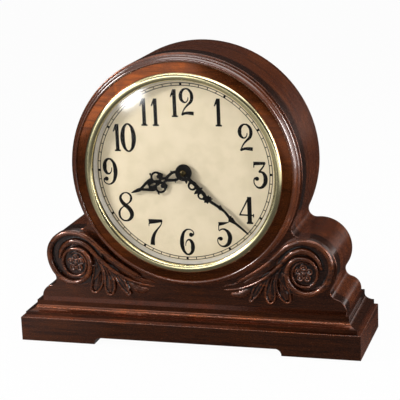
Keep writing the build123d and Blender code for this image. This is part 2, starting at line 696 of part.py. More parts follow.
ARBOR_FRONT = MINUTE_FRONT - ARBOR_PROUD
with BuildPart() as hand_nut:
    with BuildSketch(turning_plane(DIAL_Z)):
        with BuildLine():
            Polyline((0, MINUTE_FRONT - HAND_NUT_RISE), (0, ARBOR_FRONT - SEAT),
                     (ARBOR_R + RUNNING, ARBOR_FRONT - SEAT), (ARBOR_R + RUNNING, MINUTE_FRONT),
                     (HAND_NUT_R, MINUTE_FRONT))
            EllipticalCenterArc((0, MINUTE_FRONT), HAND_NUT_R, HAND_NUT_RISE, start_angle=-QUARTER_TURN)
        make_face()
    revolve(axis=turning_axis(DIAL_Z))
save(hand_nut, "hand_nut")

# Carved scrolls: eye with a rosette, volute band, ribs that hug the ring, and a lobed leaf
VOLUTE_R = SHOULDER_R - VOLUTE_EDGE
SCROLL_RISE = max(VOLUTE_RISE, EYE_RISE, PETAL_RISE + BEAD_R, LEAF_RISE, *RIB_RISES)
LEAF_R = RING_R + LEAF_GAP
LEAF_END = LEAF_START + LEAF_SWEEP
LEAF_TIP = (LEAF_R * cos(radians(LEAF_START)), DIAL_Z + LEAF_R * sin(radians(LEAF_START)))
LEAF_TOP = (LEAF_R * cos(radians(LEAF_END)), DIAL_Z + LEAF_R * sin(radians(LEAF_END)))


def by_shoulder(place):
    """Point given from the shoulder's centre."""
    return (SHOULDER_CENTRE[0] + place[0], SHOULDER_CENTRE[1] + place[1])


with BuildPart() as scroll_right:
    with BuildSketch(front_plane(FACE_SETBACK)):
        with BuildLine():
            Polyline(SHOULDER_CENTRE, LEAF_TOP)
            CenterArc(DRUM_CENTRE, LEAF_R, LEAF_START, LEAF_SWEEP)
            edge_end = by_shoulder(LEAF_THUMB)
            Line(LEAF_TIP, edge_end)
            for lobe, valley in LEAF_LOBES:
                ThreePointArc(edge_end, by_shoulder(lobe), by_shoulder(valley))
                edge_end = by_shoulder(valley)
            Line(edge_end, SHOULDER_CENTRE)
        make_face()
    extrude(amount=LEAF_RISE)
    for row, rise in enumerate(RIB_RISES):
        rib_r = LEAF_R + row * RIB_PITCH
        with BuildSketch(front_plane(FACE_SETBACK)):
            with BuildLine():
                inside = CenterArc(DRUM_CENTRE, rib_r, LEAF_START, LEAF_SWEEP)
                outside = CenterArc(DRUM_CENTRE, rib_r + RIB_WIDTH, LEAF_START, LEAF_SWEEP)
                Line(inside @ 0, outside @ 0)
                Line(inside @ 1, outside @ 1)
            make_face()
        extrude(amount=rise)
    with Locations(front_plane(FACE_SETBACK) * Pos(*SHOULDER_CENTRE)):
        Cylinder(VOLUTE_R, VOLUTE_RISE, align=LOW)
    with Locations(front_plane(FACE_SETBACK - VOLUTE_FLOOR) * Pos(*SHOULDER_CENTRE)):
        Cylinder(VOLUTE_R - VOLUTE_BAND, VOLUTE_RISE, align=LOW, mode=Mode.SUBTRACT)
    with Locations(front_plane(FACE_SETBACK) * Pos(*SHOULDER_CENTRE)):
        Cylinder(EYE_R + EYE_RING, EYE_RISE, align=LOW)
    with Locations(front_plane(FACE_SETBACK - EYE_FLOOR) * Pos(*SHOULDER_CENTRE)):
        Cylinder(EYE_R, EYE_RISE, align=LOW, mode=Mode.SUBTRACT)
    with Locations(front_plane(FACE_SETBACK) * Pos(*SHOULDER_CENTRE)):
        with PolarLocations(PETAL_RING_R, PETAL_COUNT):
            Cylinder(PETAL_R, PETAL_RISE, align=LOW)
    with Locations(front_plane(FACE_SETBACK - PETAL_RISE) * Pos(*SHOULDER_CENTRE)):
        Sphere(BEAD_R)
    with Locations(dial_plane(FACE_SETBACK)):
        Cylinder(RING_R + SEAT, SCROLL_RISE, align=LOW, mode=Mode.SUBTRACT)
save(scroll_right, "scroll_right")

with BuildPart() as scroll_left:
    mirror(scroll_right.part, about=Plane.YZ)
save(scroll_left, "scroll_left")

# Back panel in the rebate, with the door's opening and the loudspeaker's sound holes
HINGE_HEIGHTS = (DOOR_Z - HINGE_SPREAD / 2, DOOR_Z + HINGE_SPREAD / 2)
HINGE_SCREW_X = KNUCKLE_R + SEAT + HINGE_LEAF / 2
HINGE_SCREW_RISES = (-HINGE_HEIGHT / 4, HINGE_HEIGHT / 4)


def hinge_screw_places(side):
    """Places of the hinge screws on one side of the door's edge."""
    across = HINGE_X + side * HINGE_SCREW_X
    return [(across, height + rise) for height in HINGE_HEIGHTS for rise in HINGE_SCREW_RISES]


SPEAKER_SCREW_REACH = (SPEAKER_R - SPEAKER_RIM / 2) * sin(pi / 4)
SPEAKER_SCREW_PLACES = [(x * SPEAKER_SCREW_REACH, SPEAKER_Z + y * SPEAKER_SCREW_REACH) for x, y in CORNERS]
with BuildPart() as back_panel:
    with BuildSketch(front_plane(CASE_DEPTH)):
        with Locations(DRUM_CENTRE):
            Circle(DRUM_BORE + REBATE - SEAT)
        with Locations((0, BOARD_TOP)):
            Rectangle(2 * (CHEST_HALF + REBATE - SEAT), CHEST_HEIGHT + REBATE - SEAT,
                      align=(Align.CENTER, Align.MIN))
        with Locations((0, DOOR_Z)):
            Rectangle(DOOR_WIDTH + 2 * DOOR_GAP, DOOR_HEIGHT + 2 * DOOR_GAP, mode=Mode.SUBTRACT)
        with Locations(*PANEL_SCREW_PLACES):
            Circle(PANEL_SCREW_R + RUNNING, mode=Mode.SUBTRACT)
        with Locations((0, SPEAKER_Z)):
            Circle(SOUND_HOLE_R, mode=Mode.SUBTRACT)
            for ring in SOUND_RINGS:
                with PolarLocations(ring * SOUND_HOLE_PITCH, ring * SOUND_HOLES):
                    Circle(SOUND_HOLE_R, mode=Mode.SUBTRACT)
    extrude(amount=BACK_THICK)
    with Locations(*[rear_plane(CASE_DEPTH, *place) for place in hinge_screw_places(1)]):
        Cylinder(HINGE_SCREW_R + RUNNING, HINGE_SCREW_LENGTH, align=HIGH, mode=Mode.SUBTRACT)
    with Locations(*[rear_plane(PANEL_FRONT, *place) for place in SPEAKER_SCREW_PLACES]):
        Cylinder(SPEAKER_SCREW_R + RUNNING, SPEAKER_SCREW_GRIP + SEAT, align=LOW, mode=Mode.SUBTRACT)
save(back_panel, "back_panel")

with BuildPart() as back_panel_screws:
    with Locations(*[rear_plane(CASE_DEPTH, *place) for place in PANEL_SCREW_PLACES]):
        Cylinder(PANEL_SCREW_HEAD, SCREW_HEAD_THICK, align=LOW)
        Cylinder(PANEL_SCREW_R, PANEL_SCREW_LENGTH, align=HIGH)
    with Locations(*[rear_plane(CASE_DEPTH + HINGE_THICK, *place) for place in hinge_screw_places(1)]):
        Cylinder(HINGE_SCREW_HEAD, SCREW_HEAD_THICK, align=LOW)
        Cylinder(HINGE_SCREW_R, HINGE_SCREW_LENGTH, align=HIGH)
    with Locations(*[rear_plane(SPEAKER_FACE, *place) for place in SPEAKER_SCREW_PLACES]):
        Cylinder(SPEAKER_SCREW_HEAD, SCREW_HEAD_THICK, align=HIGH)
        Cylinder(SPEAKER_SCREW_R, SPEAKER_FLANGE + SPEAKER_SCREW_GRIP, align=LOW)
save(back_panel_screws, "back_panel_screws")

# Door with its hinges, knob and magnetic catch
KNOB_X = KNOB_INSET - DOOR_WIDTH / 2
with BuildPart() as back_door:
    with Locations(rear_plane(PANEL_FRONT, 0, DOOR_Z)):
        Box(DOOR_WIDTH, DOOR_HEIGHT, BACK_THICK, align=LOW)
    with Locations(*[rear_plane(CASE_DEPTH, *place) for place in hinge_screw_places(-1)]):
        Cylinder(HINGE_SCREW_R + RUNNING, HINGE_SCREW_LENGTH, align=HIGH, mode=Mode.SUBTRACT)
    with Locations(rear_plane(CASE_DEPTH, KNOB_X, DOOR_Z)):
        Cylinder(KNOB_STEM_R + RUNNING, BACK_THICK, align=HIGH, mode=Mode.SUBTRACT)
save(back_door, "back_door")

with BuildPart() as door_knob:
    with Locations(rear_plane(PANEL_FRONT, KNOB_X, DOOR_Z)):
        Cylinder(KNOB_STEM_R, BACK_THICK + KNOB_RISE, align=LOW)
    with Locations(rear_plane(CASE_DEPTH, KNOB_X, DOOR_Z)):
        Cone(KNOB_R, KNOB_STEM_R, KNOB_RISE / 2, align=LOW)
    with Locations(rear_plane(CASE_DEPTH + KNOB_RISE / 2, KNOB_X, DOOR_Z)):
        Cylinder(KNOB_R, KNOB_RISE / 2, align=LOW)
    fillet(door_knob.edges().group_by(Axis.Y)[-1], EDGE_ROUND)
save(door_knob, "door_knob")


def hinge_leaves(side, knuckles):
    """Leaf of both hinges on one side of the door's edge, with its share of the knuckle."""
    with BuildPart() as leaves:
        for height in HINGE_HEIGHTS:
            with Locations(rear_plane(CASE_DEPTH, HINGE_X + side * HINGE_SCREW_X, height)):
                Box(HINGE_LEAF, HINGE_HEIGHT, HINGE_THICK, align=LOW)
            for low, high in knuckles:
                middle = height + (low + high) / 2
                strip = KNUCKLE_R + 2 * SEAT
                with Locations(rear_plane(CASE_DEPTH, HINGE_X + side * strip / 2, middle)):
                    Box(strip, high - low, HINGE_THICK, align=LOW)
                with Locations((HINGE_X, HINGE_Y, middle)):
                    Cylinder(KNUCKLE_R, high - low)
            with Locations((HINGE_X, HINGE_Y, height)):
                Cylinder(HINGE_PIN_R + RUNNING, HINGE_HEIGHT, mode=Mode.SUBTRACT)
        with Locations(*[rear_plane(CASE_DEPTH, *place) for place in hinge_screw_places(side)]):
            Cylinder(HINGE_SCREW_R + RUNNING, HINGE_THICK, align=LOW, mode=Mode.SUBTRACT)
    return leaves


END = HINGE_HEIGHT / 2
MIDDLE = HINGE_HEIGHT / 4
save(hinge_leaves(1, ((-END, -MIDDLE), (MIDDLE, END))), "hinge_panel_leaves")
save(hinge_leaves(-1, ((SEAT - MIDDLE, MIDDLE - SEAT),)), "hinge_door_leaves")

with BuildPart() as hinge_pins:
    for height in HINGE_HEIGHTS:
        with Locations((HINGE_X, HINGE_Y, height)):
            Cylinder(HINGE_PIN_R, HINGE_HEIGHT)
save(hinge_pins, "hinge_pins")

with BuildPart() as hinge_door_screws:
    with Locations(*[rear_plane(CASE_DEPTH + HINGE_THICK, *place) for place in hinge_screw_places(-1)]):
        Cylinder(HINGE_SCREW_HEAD, SCREW_HEAD_THICK, align=LOW)
        Cylinder(HINGE_SCREW_R, HINGE_SCREW_LENGTH, align=HIGH)
save(hinge_door_screws, "hinge_door_screws")

CATCH_EDGE = -DOOR_WIDTH / 2 - DOOR_GAP
CATCH_FACE = PANEL_FRONT - CATCH_PLATE
with BuildPart() as catch_magnet:
    with Locations(rear_plane(PANEL_FRONT, CATCH_EDGE - CATCH_WIDTH / 2, DOOR_Z)):
        Box(CATCH_WIDTH, CATCH_HEIGHT, CATCH_DEPTH, align=HIGH)
    with Locations(rear_plane(CATCH_FACE - SEAT, CATCH_EDGE + CATCH_REACH / 2, DOOR_Z)):
        Box(CATCH_REACH, CATCH_HEIGHT, CATCH_DEPTH - CATCH_PLATE - SEAT, align=HIGH)
save(catch_magnet, "catch_magnet")

with BuildPart() as catch_plate:
    with Locations(rear_plane(CATCH_FACE, CATCH_EDGE + CATCH_REACH / 2 + DOOR_GAP, DOOR_Z)):
        Box(CATCH_REACH - DOOR_GAP, CATCH_HEIGHT, CATCH_PLATE, align=LOW)
save(catch_plate, "catch_plate")

# Movement: places and phases of the wheels, seen from the front and measured from the dial's centre
def meshed_place(place, bearing, teeth, other_teeth, module):
    """Centre of a wheel in mesh with another, at a bearing from it."""
    reach = (teeth + other_teeth) * module / 2
    return (place[0] + reach * cos(radians(bearing)), place[1] + reach * sin(radians(bearing)))


def meshed_phase(phase, teeth, other_teeth, bearing):
    """Angle of a wheel's first tooth that puts a gap where the other wheel has a tooth."""
    way = radians(bearing)
    return way + pi + pi / other_teeth - (phase - way) * teeth / other_teeth


def gear_face(place, depth, teeth, module, phase):
    """Outline of a spur wheel with straight-sided teeth."""
    pitch_r = teeth * module / 2
    tip_r = pitch_r + TOOTH_TIP * module
    root_r = pitch_r - TOOTH_ROOT * module
    flanks = ((root_r, -ROOT_SHARE), (tip_r, -TIP_SHARE), (tip_r, TIP_SHARE), (root_r, ROOT_SHARE))
    corners = []
    for tooth in range(teeth):
        for radius, share in flanks:
            angle = phase + (tooth + share) * 2 * pi / teeth
            corners.append((radius * cos(angle), radius * sin(angle)))
    with BuildSketch(dial_plane(depth, *place)) as face:
        with BuildLine():
            Polyline(*corners, close=True)
        make_face()
    return face.sketch


CENTRE_AT = (0.0, 0.0)
SETTING_AT = meshed_place(CENTRE_AT, 0, CANNON_TEETH, MINUTE_WHEEL_TEETH, MOTION_MODULE)
HOUR_MODULE = 2 * SETTING_AT[0] / (MINUTE_PINION_TEETH + HOUR_WHEEL_TEETH)
THIRD_AT = meshed_place(CENTRE_AT, THIRD_BEARING, CENTRE_TEETH, THIRD_PINION_TEETH, CENTRE_MODULE)
FOURTH_AT = meshed_place(THIRD_AT, FOURTH_BEARING, THIRD_TEETH, FOURTH_PINION_TEETH, THIRD_MODULE)
INTERMEDIATE_AT = meshed_place(FOURTH_AT, INTERMEDIATE_BEARING, FOURTH_TEETH, INTERMEDIATE_PINION_TEETH,
                               FOURTH_MODULE)
ROTOR_AT = meshed_place(INTERMEDIATE_AT, ROTOR_BEARING, INTERMEDIATE_TEETH, ROTOR_PINION_TEETH, ROTOR_MODULE)
PIVOTS = (THIRD_AT, FOURTH_AT, INTERMEDIATE_AT, ROTOR_AT)
MINUTE_WHEEL_PHASE = meshed_phase(0, CANNON_TEETH, MINUTE_WHEEL_TEETH, 0)
HOUR_WHEEL_PHASE = meshed_phase(0, MINUTE_PINION_TEETH, HOUR_WHEEL_TEETH, HALF_TURN)
THIRD_PHASE = meshed_phase(0, CENTRE_TEETH, THIRD_PINION_TEETH, THIRD_BEARING)
FOURTH_PHASE = meshed_phase(THIRD_PHASE, THIRD_TEETH, FOURTH_PINION_TEETH, FOURTH_BEARING)
INTERMEDIATE_PHASE = meshed_phase(FOURTH_PHASE, FOURTH_TEETH, INTERMEDIATE_PINION_TEETH, INTERMEDIATE_BEARING)
ROTOR_PHASE = meshed_phase(INTERMEDIATE_PHASE, INTERMEDIATE_TEETH, ROTOR_PINION_TEETH, ROTOR_BEARING)

# Movement: shells, plates and what clamps them to the dial
BUSH_FRONT = HOUR_BACK + SEAT
SCREW_TIP = SHELL_FLOOR + SEAT
with BuildPart() as movement_front:
    with Locations(dial_plane(SHELL_SPLIT)):
        Box(2 * MOVEMENT_HALF, 2 * MOVEMENT_HALF, SHELL_SPLIT - MOVEMENT_FRONT, align=LOW)
    fillet(movement_front.edges().filter_by(Axis.Y), MOVEMENT_CORNER)
    with Locations(dial_plane(SHELL_SPLIT)):
        Box(2 * CAVITY_HALF, 2 * CAVITY_HALF, SHELL_SPLIT - SHELL_FLOOR, align=LOW, mode=Mode.SUBTRACT)
    with Locations(dial_plane(PLATE_FRONT)):
        with GridLocations(2 * BOSS_AT, 2 * BOSS_AT, 2, 2):
            Cylinder(BOSS_R, PLATE_FRONT - SHELL_FLOOR, align=LOW)
            Cylinder(MOVEMENT_SCREW_R + RUNNING, PLATE_FRONT - SHELL_FLOOR, align=LOW, mode=Mode.SUBTRACT)
    with Locations(dial_plane(SHELL_FLOOR)):
        Cylinder(BUSH_R, SHELL_FLOOR - BUSH_FRONT, align=LOW)
        Cylinder(BUSH_BORE, SHELL_FLOOR - BUSH_FRONT, align=LOW, mode=Mode.SUBTRACT)
    with Locations(dial_plane(SHELL_FLOOR, *SETTING_AT)):
        Cylinder(SETTING_R + RUNNING, SHELL, align=LOW, mode=Mode.SUBTRACT)
save(movement_front, "movement_front")

with BuildPart() as rubber_washer:
    with Locations(dial_plane(MOVEMENT_FRONT)):
        Cylinder(WASHER_R, WASHER_THICK, align=LOW)
        Cylinder(BUSH_R + RUNNING, WASHER_THICK, align=LOW, mode=Mode.SUBTRACT)
save(rubber_washer, "rubber_washer")

with BuildPart() as bush_nut:
    with BuildSketch(dial_plane(DIAL_FACE)):
        RegularPolygon(BUSH_NUT_R, BUSH_NUT_SIDES)
        Circle(BUSH_R + RUNNING, mode=Mode.SUBTRACT)
    extrude(amount=BUSH_NUT_THICK)
save(bush_nut, "bush_nut")

STATOR_ARMS = [ROTOR_AT[1] + side * (STATOR_HALF - STATOR_ARM / 2) for side in (-1, 1)]
STATOR_POSTS = [((ROTOR_AT[0] + CORE_X) / 2, height) for height in STATOR_ARMS]
with BuildPart() as train_plate:
    with Locations(dial_plane(PLATE_BACK)):
        Box(2 * (CAVITY_HALF - SEAT), 2 * (CAVITY_HALF - SEAT), PLATE, align=LOW)
    with Locations(*[dial_plane(BRIDGE_FRONT, *place) for place in BRIDGE_POSTS]):
        Cylinder(POST_R, BRIDGE_FRONT - PLATE_BACK, align=LOW)
        Cylinder(BRIDGE_SCREW_R + RUNNING, BRIDGE_FRONT - PLATE_FRONT, align=LOW, mode=Mode.SUBTRACT)
    with Locations(*[dial_plane(MAGNET_LEVEL, *place) for place in STATOR_POSTS]):
        Cylinder(STATOR_POST_R, MAGNET_LEVEL - PLATE_BACK, align=LOW)
    with Locations(*[dial_plane(PLATE_BACK, *place) for place in PIVOTS]):
        Cylinder(PIVOT_R + RUNNING, PLATE, align=LOW, mode=Mode.SUBTRACT)
    with Locations(dial_plane(PLATE_BACK)):
        Cylinder(ARBOR_R + RUNNING, PLATE, align=LOW, mode=Mode.SUBTRACT)
        with GridLocations(2 * BOSS_AT, 2 * BOSS_AT, 2, 2):
            Cylinder(MOVEMENT_SCREW_R + RUNNING, PLATE, align=LOW, mode=Mode.SUBTRACT)
    with Locations(dial_plane(PLATE_BACK, *SETTING_AT)):
        Cylinder(SETTING_R + RUNNING, PLATE, align=LOW, mode=Mode.SUBTRACT)
save(train_plate, "train_plate")

with BuildPart() as train_bridge:
    with Locations(dial_plane(BRIDGE_BACK, 0, (BRIDGE_LOW + BRIDGE_HIGH) / 2)):
        Box(2 * BRIDGE_HALF, BRIDGE_HIGH - BRIDGE_LOW, PLATE, align=LOW)
    with Locations(*[dial_plane(BRIDGE_BACK, *place) for place in BRIDGE_POSTS]):
        Cylinder(BRIDGE_SCREW_R + RUNNING, PLATE, align=LOW, mode=Mode.SUBTRACT)
    with Locations(*[dial_plane(BRIDGE_BACK, *place) for place in PIVOTS]):
        Cylinder(PIVOT_R + RUNNING, PLATE, align=LOW, mode=Mode.SUBTRACT)
    with Locations(dial_plane(BRIDGE_BACK)):
        Cylinder(ARBOR_R + RUNNING, PLATE, align=LOW, mode=Mode.SUBTRACT)
    with Locations(dial_plane(BRIDGE_BACK, *SETTING_AT)):
        Cylinder(SETTING_R + RUNNING, PLATE, align=LOW, mode=Mode.SUBTRACT)
save(train_bridge, "train_bridge")

SLIDERS = {"volume_slider": -SLIDER_PITCH, "chime_selector": 0.0, "night_switch": SLIDER_PITCH}
with BuildPart() as movement_rear:
    with Locations(dial_plane(MOVEMENT_BACK)):
        Box(2 * MOVEMENT_HALF, 2 * MOVEMENT_HALF, MOVEMENT_BACK - SHELL_SPLIT, align=LOW)
    fillet(movement_rear.edges().filter_by(Axis.Y), MOVEMENT_CORNER)
    with Locations(dial_plane(SHELL_BACK)):
        Box(2 * CAVITY_HALF, 2 * CAVITY_HALF, SHELL_BACK - SHELL_SPLIT, align=LOW, mode=Mode.SUBTRACT)
    with Locations(dial_plane(SHELL_BACK, 0, (BAY_TOP + BAY_BOTTOM) / 2)):
        Box(2 * (BAY_HALF + SHELL), BAY_TOP - BAY_BOTTOM + 2 * SHELL, SHELL_BACK - BAY_FLOOR + SHELL, align=LOW)
    with Locations(dial_plane(MOVEMENT_BACK, 0, (BAY_TOP + BAY_BOTTOM) / 2)):
        Box(2 * BAY_HALF, BAY_TOP - BAY_BOTTOM, MOVEMENT_BACK - BAY_FLOOR, align=LOW, mode=Mode.SUBTRACT)
    with Locations(dial_plane(MOVEMENT_BACK)):
        with GridLocations(2 * BOSS_AT, 2 * BOSS_AT, 2, 2):
            Cylinder(BOSS_R, MOVEMENT_BACK - PLATE_BACK, align=LOW)
            Cylinder(MOVEMENT_SCREW_R + RUNNING, MOVEMENT_BACK - PLATE_BACK, align=LOW, mode=Mode.SUBTRACT)
    with Locations(*[dial_plane(SHELL_BACK, *place) for place in BOARD_PEGS]):
        Cylinder(BOARD_POST_R, SHELL_BACK - BOARD_BACK, align=LOW)
        Cylinder(BOARD_PEG_R, SHELL_BACK - BOARD_FRONT, align=LOW)
    with Locations(dial_plane(MOVEMENT_BACK, *SETTING_AT)):
        Cylinder(SETTING_R + RUNNING, SHELL, align=LOW, mode=Mode.SUBTRACT)
    with Locations(*[dial_plane(MOVEMENT_BACK, across, SLIDER_HEIGHT) for across in SLIDERS.values()]):
        Box(SLIDER_TAB + 2 * (SELECTOR_TRAVEL + SEAT), SLIDER_TAB + 2 * SEAT, SHELL, align=LOW,
            mode=Mode.SUBTRACT)
save(movement_rear, "movement_rear")

with BuildPart() as movement_screws:
    with Locations(dial_plane(MOVEMENT_BACK)):
        with GridLocations(2 * BOSS_AT, 2 * BOSS_AT, 2, 2):
            Cylinder(MOVEMENT_SCREW_HEAD, SCREW_HEAD_THICK, align=HIGH)
            Cylinder(MOVEMENT_SCREW_R, MOVEMENT_BACK - SCREW_TIP, align=LOW)
    with Locations(*[dial_plane(BRIDGE_BACK, *place) for place in BRIDGE_POSTS]):
        Cylinder(BRIDGE_SCREW_HEAD, SCREW_HEAD_THICK, align=HIGH)
        Cylinder(BRIDGE_SCREW_R, BRIDGE_BACK - PLATE_FRONT, align=LOW)
save(movement_screws, "movement_screws")

# Movement: hands' arbor, motion works and setting knob
KNOB_FACE = MOVEMENT_BACK + SEAT
KNOB_END = KNOB_FACE + SETTING_KNOB_RISE
SHAFT_END = KNOB_END - PLATE
with BuildPart() as minute_arbor:
    with Locations(dial_plane(BRIDGE_BACK)):
        Cylinder(ARBOR_R, BRIDGE_BACK - ARBOR_FRONT, align=LOW)
    extrude(gear_face(CENTRE_AT, MINUTE_LEVEL + GEAR_FACE, CANNON_TEETH, MOTION_MODULE, 0), amount=GEAR_FACE)
save(minute_arbor, "minute_arbor")

with BuildPart() as hour_wheel:
    extrude(gear_face(CENTRE_AT, HOUR_LEVEL + GEAR_FACE, HOUR_WHEEL_TEETH, HOUR_MODULE, HOUR_WHEEL_PHASE),
            amount=GEAR_FACE)
    with Locations(dial_plane(HOUR_LEVEL + GEAR_FACE)):
        Cylinder(PIPE_R, HOUR_LEVEL + GEAR_FACE + SEAT - HOUR_FRONT, align=LOW)
        Cylinder(PIPE_BORE, HOUR_LEVEL + GEAR_FACE + SEAT - HOUR_FRONT, align=LOW, mode=Mode.SUBTRACT)
save(hour_wheel, "hour_wheel")

with BuildPart() as minute_wheel:
    with Locations(dial_plane(SHAFT_END, *SETTING_AT)):
        Cylinder(SETTING_R, SHAFT_END - MOVEMENT_FRONT - SEAT, align=LOW)
    extrude(gear_face(SETTING_AT, MINUTE_LEVEL + GEAR_FACE, MINUTE_WHEEL_TEETH, MOTION_MODULE,
                      MINUTE_WHEEL_PHASE), amount=GEAR_FACE)
    extrude(gear_face(SETTING_AT, HOUR_LEVEL + GEAR_FACE, MINUTE_PINION_TEETH, HOUR_MODULE, 0),
            amount=GEAR_FACE)
save(minute_wheel, "minute_wheel")

with BuildPart() as setting_knob:
    with Locations(dial_plane(KNOB_END, *SETTING_AT)):
        Cylinder(SETTING_KNOB_R, SETTING_KNOB_RISE, align=LOW)
    fillet(setting_knob.edges().group_by(Axis.Y)[-1], EDGE_ROUND)
    with Locations(dial_plane(SHAFT_END, *SETTING_AT)):
        Cylinder(SETTING_R + RUNNING, SHAFT_END - KNOB_FACE, align=LOW, mode=Mode.SUBTRACT)
save(setting_knob, "setting_knob")

# Movement: going train from the centre wheel to the rotor
with BuildPart() as centre_wheel:
    extrude(gear_face(CENTRE_AT, CENTRE_LEVEL + GEAR_FACE, CENTRE_TEETH, CENTRE_MODULE, 0), amount=GEAR_FACE)
    with Locations(dial_plane(CENTRE_LEVEL + GEAR_FACE + CENTRE_HUB_RISE)):
        Cylinder(CENTRE_HUB_R, CENTRE_HUB_RISE, align=LOW)
        Cylinder(ARBOR_R + RUNNING, GEAR_FACE + CENTRE_HUB_RISE, align=LOW, mode=Mode.SUBTRACT)
save(centre_wheel, "centre_wheel")

TRAIN = (
    ("third_wheel", THIRD_AT, THIRD_PHASE, (CENTRE_LEVEL, THIRD_PINION_TEETH, CENTRE_MODULE),
     (THIRD_LEVEL, THIRD_TEETH, THIRD_MODULE)),
    ("fourth_wheel", FOURTH_AT, FOURTH_PHASE, (THIRD_LEVEL, FOURTH_PINION_TEETH, THIRD_MODULE),
     (FOURTH_LEVEL, FOURTH_TEETH, FOURTH_MODULE)),
    ("intermediate_wheel", INTERMEDIATE_AT, INTERMEDIATE_PHASE,
     (FOURTH_LEVEL, INTERMEDIATE_PINION_TEETH, FOURTH_MODULE),
     (INTERMEDIATE_LEVEL, INTERMEDIATE_TEETH, ROTOR_MODULE)),
)
for name, place, phase, *gears in TRAIN:
    with BuildPart() as train_wheel:
        with Locations(dial_plane(BRIDGE_BACK, *place)):
            Cylinder(PIVOT_R, BRIDGE_BACK - PLATE_FRONT, align=LOW)
        for level, teeth, module in gears:
            extrude(gear_face(place, level + GEAR_FACE, teeth, module, phase), amount=GEAR_FACE)
    save(train_wheel, name)

with BuildPart() as rotor:
    with Locations(dial_plane(BRIDGE_BACK, *ROTOR_AT)):
        Cylinder(PIVOT_R, BRIDGE_BACK - PLATE_FRONT, align=LOW)
    extrude(gear_face(ROTOR_AT, INTERMEDIATE_LEVEL + GEAR_FACE, ROTOR_PINION_TEETH, ROTOR_MODULE, ROTOR_PHASE),
            amount=GEAR_FACE)
    with Locations(dial_plane(MAGNET_LEVEL + GEAR_FACE, *ROTOR_AT)):
        Cylinder(ROTOR_MAGNET_R, GEAR_FACE, align=LOW)
save(rotor, "rotor")

with BuildPart() as stator:
    with BuildSketch(dial_plane(MAGNET_LEVEL + GEAR_FACE)):
        with Locations(ROTOR_AT):
            Circle(ROTOR_MAGNET_R + ROTOR_AIR_GAP + STATOR_RIM)
            Rectangle(STATOR_ARM, 2 * STATOR_HALF)
        with Locations(*[(ROTOR_AT[0], height) for height in STATOR_ARMS]):
            Rectangle(CORE_X - ROTOR_AT[0], STATOR_ARM, align=(Align.MIN, Align.CENTER))
        with Locations((CORE_X, ROTOR_AT[1])):
            Rectangle(CORE_WIDTH, 2 * STATOR_HALF)
        with Locations(ROTOR_AT):
            Circle(ROTOR_MAGNET_R + ROTOR_AIR_GAP, mode=Mode.SUBTRACT)
    extrude(amount=GEAR_FACE)
save(stator, "stator")

with BuildPart() as coil:
    with Locations(dial_plane(STATOR_MIDDLE, CORE_X, ROTOR_AT[1])):
        Box(COIL_WIDTH, COIL_LENGTH, COIL_THICK)
        fillet(coil.edges().filter_by(Axis.Z), EDGE_ROUND)
        Box(CORE_WIDTH + 2 * SEAT, COIL_LENGTH, GEAR_FACE + 2 * SEAT, mode=Mode.SUBTRACT)
save(coil, "coil")

# Movement: circuit board, chips, sliders, cells and contacts
with BuildPart() as circuit_board:
    with Locations(dial_plane(BOARD_BACK, 0, (BOARD_LOW + BOARD_HIGH) / 2)):
        Box(2 * BOARD_HALF, BOARD_HIGH - BOARD_LOW, BOARD_THICK, align=LOW)
    with Locations(*[dial_plane(BOARD_BACK, *place) for place in BOARD_PEGS]):
        Cylinder(BOARD_PEG_R + RUNNING, BOARD_THICK, align=LOW, mode=Mode.SUBTRACT)
save(circuit_board, "circuit_board")

with BuildPart() as board_chips:
    with Locations(dial_plane(BOARD_FRONT, 0, CHIP_HEIGHT)):
        with GridLocations(CHIP_PITCH, 0, 2, 1):
            Box(CHIP_SIZE, CHIP_SIZE, CHIP_THICK, align=LOW)
save(board_chips, "board_chips")

for name, across in SLIDERS.items():
    with BuildPart() as slider:
        with Locations(dial_plane(SLIDER_BACK, across, SLIDER_HEIGHT)):
            Box(SLIDER_BASE, SLIDER_BASE, PLATE, align=LOW)
        with Locations(dial_plane(MOVEMENT_BACK + SLIDER_RISE, across, SLIDER_HEIGHT)):
            Box(SLIDER_TAB, SLIDER_TAB, MOVEMENT_BACK + SLIDER_RISE - SLIDER_FRONT, align=LOW)
    save(slider, name)

CELL_Y = FRONT_Y + BAY_FLOOR + CELL_GAP + CELL_R
CELL_HALF = (CELL_LENGTH + CELL_NUB_RISE) / 2
CELL_HEIGHTS = [DIAL_Z + BAY_TOP - (CELL_GAP + CELL_R) - row * (CELL_GAP + 2 * CELL_R) for row in (0, 1)]
with BuildPart() as batteries:
    for way, height in zip((1, -1), CELL_HEIGHTS):
        with Locations(Plane(origin=(-way * CELL_HALF, CELL_Y, height), z_dir=(way, 0, 0))):
            Cylinder(CELL_R, CELL_LENGTH, align=LOW)
            Cylinder(CELL_NUB_R, CELL_LENGTH + CELL_NUB_RISE, align=LOW)
save(batteries, "batteries")

with BuildPart() as battery_contacts:
    contact_x = BAY_HALF - CONTACT_THICK / 2
    with Locations(*[(side * contact_x, CELL_Y, height) for side in (-1, 1) for height in CELL_HEIGHTS]):
        Box(CONTACT_THICK, CONTACT_SIZE, CONTACT_SIZE)
save(battery_contacts, "battery_contacts")

